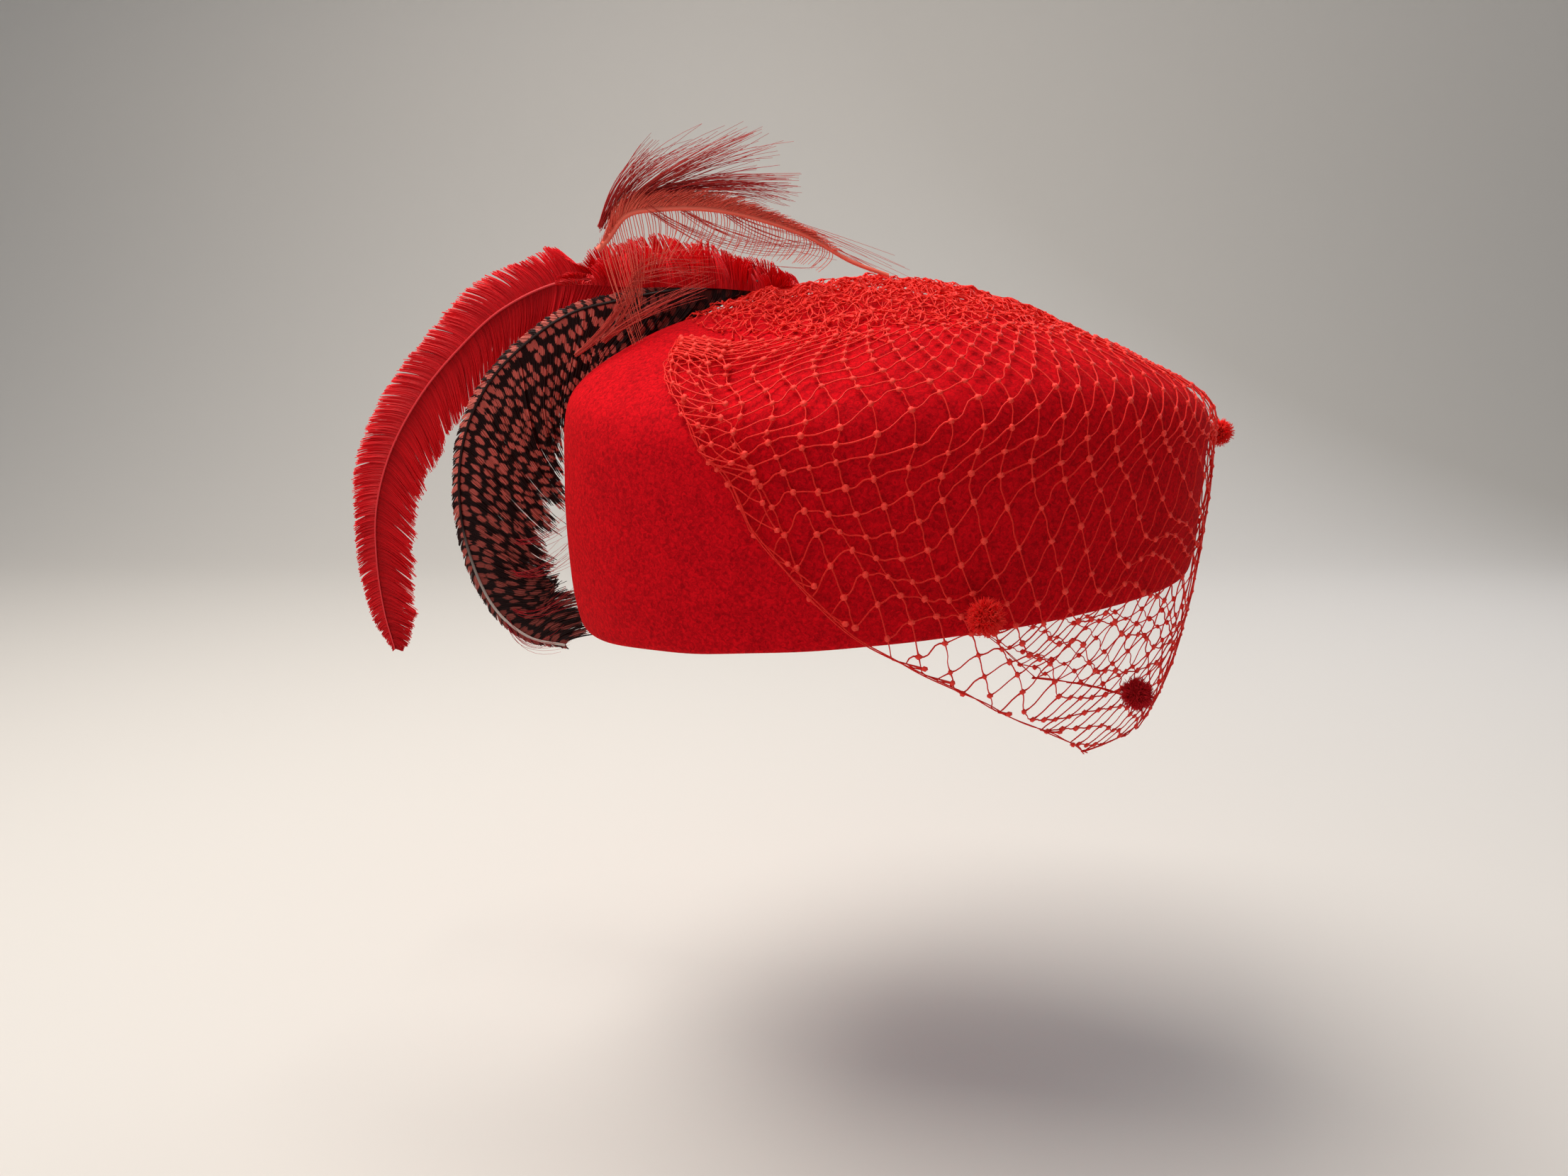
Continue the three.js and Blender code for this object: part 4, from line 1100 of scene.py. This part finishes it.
def make_dyed_barbs(name, near_shaft, far_out, shaft_colour, full_width):
    """Dyed feather barbs. place.y is how far out a point lies, and below zero it is the shaft."""
    material, tree, shader, parts = start_barbs(name)
    across = add(tree, "ShaderNodeMath", {0: parts["Y"], 1: full_width}, operation="DIVIDE")
    mixed = add(tree, "ShaderNodeMath", {0: parts["Z"], 1: 0.45, 2: across.outputs[0]},
                operation="MULTIPLY_ADD")
    dye = ramp(tree, mixed.outputs[0], (0.05, near_shaft), (1.0, far_out))
    is_shaft = add(tree, "ShaderNodeMath", {0: parts["Y"], 1: -0.5}, operation="LESS_THAN")
    colour = add(tree, "ShaderNodeMix", {0: is_shaft.outputs[0], 6: dye, 7: linear(shaft_colour)},
                 data_type="RGBA")
    set_surface(tree, shader, colour.outputs[2], 0.45, 0.18, 0.08, "#ff4038")
    return material


plume_points = seat_rows(PLUME_ROWS, PLUME_REACH, PLUME_RISE, PLUME_SIDE, PLUME_INNER)
# The crest has the same rows, with an outer vane of its own near the crown and none further on
CREST_OUTER = [0.15, 0.7, 1.0, 0.95] + [0.0] * (len(PLUME_ROWS) - 4)
PLUME_CREST_ROWS = PLUME_ROWS * [1, 1, 0, 1] + np.outer(CREST_OUTER, [0, 0, 1, 0])
# Where the outer vane is split: its middle along X, half its width, and the share that is missing
PLUME_NOTCHES = [(-118 * MM, 4.5 * MM, 0.6)]
PLUME_VANE = {"spacing": 0.42 * MM, "half_width": 0.31 * MM, "steps": 7, "cup": 0.12, "stray": 0.2 * MM,
              "notches": [], "follow": 1.0}
plume_outer = {**PLUME_VANE, "reach": PLUME_OUTER, "column": 2, "angle": 66, "locks": (1.5 * MM, 6 * MM),
               "cling": 0.3, "ragged": 0.09, "loft": 0.8 * MM, "ruffle": (0.3, 4.3, 24 * MM, 5 * MM),
               "notches": PLUME_NOTCHES}
plume_inner = {**PLUME_VANE, "reach": PLUME_INNER, "column": 3, "angle": 52, "locks": (2 * MM, 9 * MM),
               "cling": 0.25, "ragged": 0.1, "loft": 0.6 * MM, "ruffle": None}
plume_crest = {**plume_outer, "reach": 14.5 * MM, "angle": 80, "half_width": 0.36 * MM, "cling": 0.5,
               "ragged": 0.12, "loft": 2.2 * MM, "ruffle": (0, 4.6, 17 * MM, 7 * MM)}
plume_barb_finish = make_dyed_barbs("dyed_goose_barbs", "#c00814", "#ff1c28", "#ee3e44", 18 * MM)
# Two layers of each vane lie a millimetre apart, and the crest's layers stand in front of them
plume = strands("curled_plume_barbs", [
    barbs(plume_points, PLUME_ROWS, 1, plume_outer, 21),
    barbs(plume_points, PLUME_ROWS, -1, plume_inner, 22),
    barbs(plume_points + [0, 0.9 * MM, 0], PLUME_ROWS, 1, plume_outer, 23),
    barbs(plume_points + [0, 0.9 * MM, 0], PLUME_ROWS, -1, plume_inner, 24),
    barbs(plume_points - [0, 5 * MM, 0], PLUME_CREST_ROWS, 1, plume_crest, 25),
    barbs(plume_points - [0, 10 * MM, 0], PLUME_CREST_ROWS, 1, plume_crest, 26),
    barbs(plume_points - [0, 20 * MM, 3 * MM], PLUME_CREST_ROWS, 1, plume_crest, 27),
    shaft_line(plume_points - [0, 0.5 * MM, 0], 0.85 * MM, 0.35 * MM),
], 3, plume_barb_finish)
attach(plume, "root")
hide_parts("curled_plume")

# %% [markdown]
# The spotted feather is a guinea fowl's, which is dark with rows of pale spots, dyed red so that
# the spots turn salmon. The spots belong to the feather and not to space: each is a little longer
# along its barbs than across them. Painted shade dims them where the feather goes under the crown's
# net, and they are darker towards the lower end. So they are drawn in the feather's own place,
# along and across the vane, with one cell of a Voronoi pattern for each spot. A few fine, dark red
# wisps hang loose at the lower end.

# %% Spotted feather
SPOTTED_REACH = 178 * MM
SPOTTED_RISE = 134 * MM
SPOTTED_SIDE = 6 * MM
SPOTTED_OUTER = 3.5 * MM
SPOTTED_INNER = 34 * MM
SPOT_PITCH = 4.1 * MM
# How light the spots are, at shares of the way down the feather: painted shade near the root,
# under the crown's net, and darker towards the lower end
SPOT_SHADE = ((0.12, 0.1), (0.27, 1.0), (0.62, 1.0), (0.85, 0.45))
SPOTTED_ROWS = np.array([
    [0.240, np.nan, 0.30, 0.10],
    [0.340, 0.985, 0.60, 0.95],
    [0.460, 0.975, 0.80, 1.05],
    [0.580, 0.946, 1.00, 1.05],
    [0.700, 0.905, 1.00, 1.10],
    [0.808, 0.815, 1.00, 1.20],
    [0.905, 0.690, 1.00, 1.25],
    [0.972, 0.530, 1.00, 1.05],
    [1.000, 0.340, 1.00, 0.90],
    [0.984, 0.110, 1.00, 0.80],
    [0.925, -0.085, 0.90, 0.68],
    [0.840, -0.185, 0.70, 0.48],
    [0.750, -0.212, 0.50, 0.20],
])


def make_spotted_barbs():
    material, tree, shader, parts = start_barbs("spotted_fowl_barbs")
    flat = add(tree, "ShaderNodeCombineXYZ", {"X": parts["X"], "Y": parts["Y"]})
    cells = add(tree, "ShaderNodeMapping", {"Vector": flat.outputs[0],
                                            "Scale": (1 / SPOT_PITCH, 0.68 / SPOT_PITCH, 1.0)})
    spot = add(tree, "ShaderNodeTexVoronoi", {"Vector": cells.outputs[0], "Scale": 1.0,
                                              "Randomness": 0.5}, voronoi_dimensions="2D")
    ragged = add(tree, "ShaderNodeMath", {0: parts["Z"], 1: 0.17, 2: spot.outputs["Distance"]},
                 operation="MULTIPLY_ADD")
    mark = ramp(tree, ragged.outputs[0], (0.4, "#de6e62"), (0.48, "#230606"))
    # Painted shade dims the spots where the feather goes under the crown's net; the same ramp darkens
    # them towards the lower end
    down = add(tree, "ShaderNodeMath", {0: parts["X"], 1: SPOTTED_LENGTH}, operation="DIVIDE")
    shade = add(tree, "ShaderNodeValToRGB", {"Fac": down.outputs[0]})
    for position, grey in SPOT_SHADE:
        stop = shade.color_ramp.elements.new(position)
        stop.color = (grey, grey, grey, 1.0)
    shade.color_ramp.elements.remove(shade.color_ramp.elements[-1])
    shade.color_ramp.elements.remove(shade.color_ramp.elements[0])
    vane = add(tree, "ShaderNodeMix", {0: shade.outputs["Color"], 6: linear("#1c0505"), 7: mark},
               data_type="RGBA")
    is_shaft = add(tree, "ShaderNodeMath", {0: parts["Y"], 1: -0.5}, operation="LESS_THAN")
    pale = ramp(tree, parts["Z"], (0.72, "#1c0605"), (0.9, "#cfc4bc"))
    colour = add(tree, "ShaderNodeMix", {0: is_shaft.outputs[0], 6: vane.outputs[2], 7: pale},
                 data_type="RGBA")
    set_surface(tree, shader, colour.outputs[2], 0.5, 0.25, 0.1, "#a03028")
    return material


spotted_points = seat_rows(SPOTTED_ROWS, SPOTTED_REACH, SPOTTED_RISE, SPOTTED_SIDE, SPOTTED_INNER)
SPOTTED_VANE = {"spacing": 0.42 * MM, "half_width": 0.3 * MM, "cup": 0.1, "ruffle": None, "notches": [],
                "follow": 0.35}
spotted_inner = {**SPOTTED_VANE, "reach": SPOTTED_INNER, "column": 3, "angle": 38, "steps": 9,
                 "locks": (3 * MM, 9 * MM), "cling": 0.4, "ragged": 0.16, "loft": 1.2 * MM,
                 "stray": 0.7 * MM}
spotted_outer = {**SPOTTED_VANE, "reach": SPOTTED_OUTER, "column": 2, "angle": 40, "steps": 4,
                 "locks": (3 * MM, 8 * MM), "cling": 0.2, "ragged": 0.15, "loft": 0.2 * MM,
                 "stray": 0.2 * MM}
SPOTTED_LENGTH = even_curve(spotted_points, 1 * MM)[2][-1]
spotted_barb_finish = make_spotted_barbs()
spotted = strands("spotted_feather_barbs", [
    barbs(spotted_points, SPOTTED_ROWS, -1, spotted_inner, 31),
    barbs(spotted_points + [0, 1.0 * MM, 0], SPOTTED_ROWS, -1, spotted_inner, 32),
    barbs(spotted_points + [0, 2.0 * MM, 0], SPOTTED_ROWS, -1, spotted_inner, 34),
    barbs(spotted_points, SPOTTED_ROWS, 1, spotted_outer, 33),
    shaft_line(spotted_points - [0, 0.4 * MM, 0], 0.7 * MM, 0.75 * MM),
], 3, spotted_barb_finish)
# Loose wisps at the lower inner edge, in mm: start x, z; middle x, z; end x, z; spread; strands
WISPS = np.array([
    [-156, 6, -143, 6, -125, 19, 4, 14],
    [-156, -12, -143, -13, -126, -3, 4, 12],
    [-160, -17, -149, -29, -132, -28, 4, 14],
    [-154, 20, -143, 20, -126, 30, 4, 8],
])
wisp_finish = make_dyed_barbs("dyed_fowl_wisps", "#5c0a10", "#c42a34", "#ee3e44", 18 * MM)
wisps = [bunch(row, SPOTTED_SIDE, 60 + number, 0.14 * MM) for number, row in enumerate(WISPS)]
wisps = strands("spotted_feather_wisps", wisps, 3, wisp_finish)
spotted = join("spotted_feather_barbs", [spotted, wisps])
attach(spotted, "root")
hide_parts("spotted_feather")

# %% [markdown]
# The wispy feather has lost its vane. Its bare shaft arches over the plume with a fuzzy band of
# clipped barbs along the top, some eighty fine strands hang from it like the teeth of a comb, more
# cross below to the crown, and its free end breaks into a loose fan. Each bunch of strands is one
# row of a table: where it starts, the way it goes, and how it spreads. Barbs this fine let light
# through, and that light is painted into the colour: salmon on the shaft, the comb and the roots
# of the clipped band, and the dye's deeper red in the denser bunches. A ramp over a number stored
# on the strands gives both.

# %% Wispy feather
WISPY_REACH = 105 * MM
WISPY_RISE = 163 * MM
WISPY_SIDE = -14 * MM
WISPY_ROWS = np.array([
    [-0.110, np.nan, 0, 0],
    [0.040, 0.872, 0, 0],
    [0.213, 0.933, 0, 0],
    [0.400, 0.974, 0, 0],
    [0.590, 0.998, 0, 0],
    [0.780, 0.999, 0, 0],
    [0.920, 0.984, 0, 0],
    [1.000, 0.924, 0, 0],
    [1.040, 0.900, 0, 0],
])
HANGING_STRANDS = 84
FUZZ_STRANDS = 1500
# Fan bunches in mm: start x, z; middle x, z; end x, z; spread at the end; strands
FAN_BUNCHES = np.array([
    [-108, 156, -99, 174, -85, 189, 4, 32],
    [-105, 159, -95, 175, -79, 186, 3, 20],
    [-98, 164, -78, 177, -45, 192, 4, 38],
    [-95, 166, -69, 173, -28, 174, 3, 46],
    [-78, 169, -54, 171, -28, 167, 4, 28],
    [-101, 161, -88, 177, -63, 190, 5, 30],
    [-92, 166, -66, 177, -36, 184, 5, 26],
])
# Strands that cross below to the crown, in the same columns
CROSSING_BUNCHES = np.array([
    [-120, 104, -103, 119, -94, 135, 2, 30],
    [-95, 133, -85, 140, -60, 141, 6, 22],
    [-108, 110, -89, 123, -60, 135, 4, 22],
    [-102, 117, -93, 133, -91, 149, 2, 9],
    [-74, 162.5, -46, 150, -18, 147, 4, 9],
    [-56, 161.5, -35, 152, -8, 146, 4, 9],
    [-88, 163, -54, 147, -20, 143, 4, 9],
    [-50, 163, -20, 153, 18, 137, 3, 14],
])


def comb_strands(points):
    """The strands that hang from the shaft, longest near the free end."""
    chance = np.random.default_rng(41)
    line = even_curve(points, 0.5 * MM)[0]
    at = np.linspace(0.2, 0.985, HANGING_STRANDS) * (len(line) - 1)
    start = line[at.astype(int)]
    share = np.linspace(0, 1, HANGING_STRANDS)
    hang = np.interp(share, [0, 0.3, 0.55, 0.75, 0.88, 1.0], [8, 14, 17, 24, 36, 50]) * MM
    hang = hang * chance.uniform(0.9, 1.12, HANGING_STRANDS)
    drift = np.interp(share, [0, 0.35, 0.6, 0.8, 1.0], [-5, -3, -7, 2, 16]) * MM
    u = np.linspace(0, 1, 9)[None, :]
    x = start[:, :1] + drift[:, None] * u ** 1.8 + 1.6 * MM * np.sin(math.pi * u)
    x = x + chance.normal(0, 0.5 * MM, (HANGING_STRANDS, 1)) * u
    z = start[:, 2:] - hang[:, None] * (u - 0.05 * np.sin(math.pi * u))
    y = start[:, 1:2] + chance.normal(0, 1.3 * MM, (HANGING_STRANDS, 1)) * u
    lines = np.stack([x, y, z], -1)
    tint = chance.uniform(0.2, 1, HANGING_STRANDS)[:, None]
    # Painted light: the comb sits high on the colour ramp, so it is painted salmon
    where = np.stack(np.broadcast_arrays(u, 0.8, tint), -1)
    return {"lines": lines, "width": 0.24 * MM * (1 - 0.5 * u), "place": where}


def fuzz_band(points):
    """Clipped barbs that lie back along the top of the shaft."""
    chance = np.random.default_rng(43)
    line = even_curve(points, 0.4 * MM)[0]
    tangent = np.gradient(line, axis=0)
    tangent /= np.linalg.norm(tangent, axis=1, keepdims=True)
    outward = np.cross(tangent, FEATHER_FACE)
    pick = (chance.beta(1.6, 1.1, FUZZ_STRANDS) * 0.8 + 0.19) * (len(line) - 1)
    pick = pick.astype(int)
    share = pick / len(line)
    height = np.interp(share, [0, 0.35, 0.7, 0.92, 1], [1.5, 3.5, 7.5, 5, 2]) * MM
    height = height * chance.uniform(0.4, 1.1, FUZZ_STRANDS)
    back = -height * chance.uniform(0.8, 2.2, FUZZ_STRANDS)
    u = np.linspace(0, 1, 5)[None, :, None]
    lines = line[pick][:, None] + outward[pick][:, None] * height[:, None, None] * u ** 0.8
    lines = lines + tangent[pick][:, None] * back[:, None, None] * u ** 1.3
    lines = lines + np.array([0, 1, 0]) * chance.normal(0, 1.3 * MM, (FUZZ_STRANDS, 1, 1)) * u
    u = u[..., 0]
    tint = chance.uniform(0.3, 1, (FUZZ_STRANDS, 1))
    # Painted light: the band's roots sit high on the colour ramp, painted salmon, less towards the tips
    where = np.stack(np.broadcast_arrays(u, 1 - 0.5 * u, tint), -1)
    return {"lines": lines, "width": 0.2 * MM * (1 - 0.6 * u), "place": where}


def make_wispy_barbs():
    material, tree, shader, parts = start_barbs("dyed_wispy_strands_painted_light")
    mixed = add(tree, "ShaderNodeMath", {0: parts["Z"], 1: 0.35, 2: parts["Y"]},
                operation="MULTIPLY_ADD")
    # Painted light: the salmon end of this ramp stands for light that comes through the thin strands
    dye = ramp(tree, mixed.outputs[0], (0.3, "#b40c1c"), (1.0, "#ff7c66"))
    set_surface(tree, shader, dye, 0.5, 0.22, 0.12, "#ff8070")
    return material


wispy_points = seat_rows(WISPY_ROWS, WISPY_REACH, WISPY_RISE, WISPY_SIDE, 0)
wispy_shaft = shaft_line(wispy_points, 0.9 * MM, 1.3 * MM)
# Painted light: the shaft's number sits high on the ramp, so it is painted salmon
wispy_shaft["place"] = wispy_shaft["place"] * [1, 0, 0] + [0, 0.85, 0.5]
wispy_finish = make_wispy_barbs()
fan = [bunch(row, WISPY_SIDE + 2.5 * MM, 50 + i) for i, row in enumerate(FAN_BUNCHES)]
crossing = [bunch(row, WISPY_SIDE, 70 + i, 0.17 * MM) for i, row in enumerate(CROSSING_BUNCHES)]
# The crossing strands sit a little higher on the ramp than the fan, a little painted light
for group in crossing:
    group["place"] = group["place"] + [0, 0.15, 0]
wispy_parts = [wispy_shaft, comb_strands(wispy_points), fuzz_band(wispy_points)] + fan + crossing
wispy = strands("wispy_feather_strands", wispy_parts, 3, wispy_finish)
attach(wispy, "root")
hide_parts("wispy_feather")

# %% [markdown]
# A chenille dot is a tuft of short cut pile bound to the net. The eye sees a velvety ball with a
# ragged edge, bright at the front and the side. The dot at the hem gets a darker copy of the same
# dye, painted shade for the shade it hangs in. A third tree scatters points over a small lumpy core
# and stands a thin cone of pile on each one, leaning at random from a fixed seed. Light sinks in
# between the cones, and a noise as wide as a tuft varies the dye.

# %% Chenille dots
PILE_LENGTH = 3.6 * MM
PILE_HALF = 0.26 * MM
PILE_COUNT = 950
PILE_LEAN = 0.85
PILE_TUFT = 1.8 * MM
PAST_CORE = 0.62                                       # how far leaning pile stands off, as a share
LUMP_HEIGHT = 0.3
LUMP_COUNT = 2.2
DOT_NODES = ("chenille_dot_front", "chenille_dot_side", "chenille_dot_hem")


def make_pile_tree():
    tree, given = start_tree("pile_on_a_core", {
        "Count per Area": "Float", "Length": "Float", "Half Width": "Float", "Lean": "Float",
        "Seed": "Int"})
    roots = add(tree, "GeometryNodeDistributePointsOnFaces", {
        "Mesh": given["Geometry"], "Density": given["Count per Area"], "Seed": given["Seed"]})
    cone = add(tree, "GeometryNodeMeshCone", {
        "Vertices": 3, "Side Segments": 2, "Radius Top": 0.0001, "Radius Bottom": given["Half Width"],
        "Depth": given["Length"]})
    against = add(tree, "ShaderNodeMath", {0: given["Lean"], 1: -1.0}, operation="MULTIPLY")
    tilt = add(tree, "FunctionNodeRandomValue", {"Min": against.outputs[0], "Max": given["Lean"],
                                                 "Seed": given["Seed"]}, data_type="FLOAT_VECTOR")
    turn = add(tree, "FunctionNodeEulerToRotation", {0: tilt.outputs["Value"]})
    leaning = add(tree, "FunctionNodeRotateRotation", {
        "Rotation": roots.outputs["Rotation"], "Rotate By": turn.outputs[0]}, rotation_space="LOCAL")
    size = add(tree, "FunctionNodeRandomValue", {"Min": (0.7, 0.7, 0.55), "Max": (1.2, 1.2, 1.15),
                                                 "Seed": given["Seed"]}, data_type="FLOAT_VECTOR")
    stood = add(tree, "GeometryNodeInstanceOnPoints", {
        "Points": roots.outputs["Points"], "Instance": cone.outputs["Mesh"],
        "Rotation": leaning.outputs["Rotation"], "Scale": size.outputs["Value"]})
    both = add(tree, "GeometryNodeJoinGeometry")
    tree.links.new(stood.outputs["Instances"], both.inputs[0])
    tree.links.new(given["Geometry"], both.inputs[0])
    return end_tree(tree, both.outputs[0], given["Material"])


def make_chenille(name, deep, bright):
    material, tree, shader = start_material(name)
    place = add(tree, "ShaderNodeTexCoord").outputs["Object"]
    tuft = add(tree, "ShaderNodeTexNoise", {"Vector": place, "Scale": 1 / PILE_TUFT, "Detail": 3.0})
    dye = ramp(tree, tuft.outputs["Fac"], (0.35, deep), (0.7, bright))
    set_surface(tree, shader, dye, 0.9, 0.1, 0.12, "#ff2a20")
    return material


def make_dot(node, seed, dye):
    """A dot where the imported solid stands, with its pile inside that solid's own box."""
    low, high = (Vector(corner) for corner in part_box(node))
    centre = (low + high) / 2
    core_half = (high - low).x / 2 - PILE_LENGTH * PAST_CORE
    core = mesh_object(node + "_core", *lumpy_ball(centre, core_half, seed))
    area = 4 * math.pi * core_half ** 2
    dot = run_tree(core, pile_tree, {
        "Count per Area": PILE_COUNT / area, "Length": PILE_LENGTH, "Half Width": PILE_HALF,
        "Lean": PILE_LEAN, "Seed": seed, "Material": dye}, node.replace("chenille_dot", "tufted_dot"))
    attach(dot, "root")
    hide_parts(node)
    return dot


def lumpy_ball(centre, half, seed):
    """Points and faces of a small ball with soft lumps."""
    turns, levels = 20, 12
    points = [centre + Vector((0, 0, -half)), centre + Vector((0, 0, half))]
    for level in range(1, levels):
        tilt = math.pi * level / levels
        for turn in range(turns):
            spin = 2 * math.pi * turn / turns
            way = Vector((math.sin(tilt) * math.cos(spin), math.sin(tilt) * math.sin(spin),
                          -math.cos(tilt)))
            lump = LUMP_HEIGHT * noise.noise(way * LUMP_COUNT + Vector((seed, 0, 0)))
            points.append(centre + way * half * (1 + lump))
    ring = [[2 + level * turns + turn for turn in range(turns)] for level in range(levels - 1)]
    faces = [(0, ring[0][(t + 1) % turns], ring[0][t]) for t in range(turns)]
    faces += [(1, ring[-1][t], ring[-1][(t + 1) % turns]) for t in range(turns)]
    for low, high in zip(ring, ring[1:]):
        faces += [(low[t], low[(t + 1) % turns], high[(t + 1) % turns], high[t]) for t in range(turns)]
    return points, faces


pile_tree = make_pile_tree()
bright_pile = make_chenille("cut_chenille_pile", "#ff1018", "#ff463c")
# Painted shade: the hem's dot gets a darker copy of the same dye, for the shade it hangs in
shade_painted_pile = make_chenille("cut_chenille_pile_painted_shade", "#b40a18", "#f0303a")
dot_dye_and_shade = (bright_pile, bright_pile, shade_painted_pile)
dots = [make_dot(node, 3 + i, dot_dye_and_shade[i]) for i, node in enumerate(DOT_NODES)]
print("dots:", [dot.name for dot in dots], "faces:", [len(dot.data.polygons) for dot in dots])
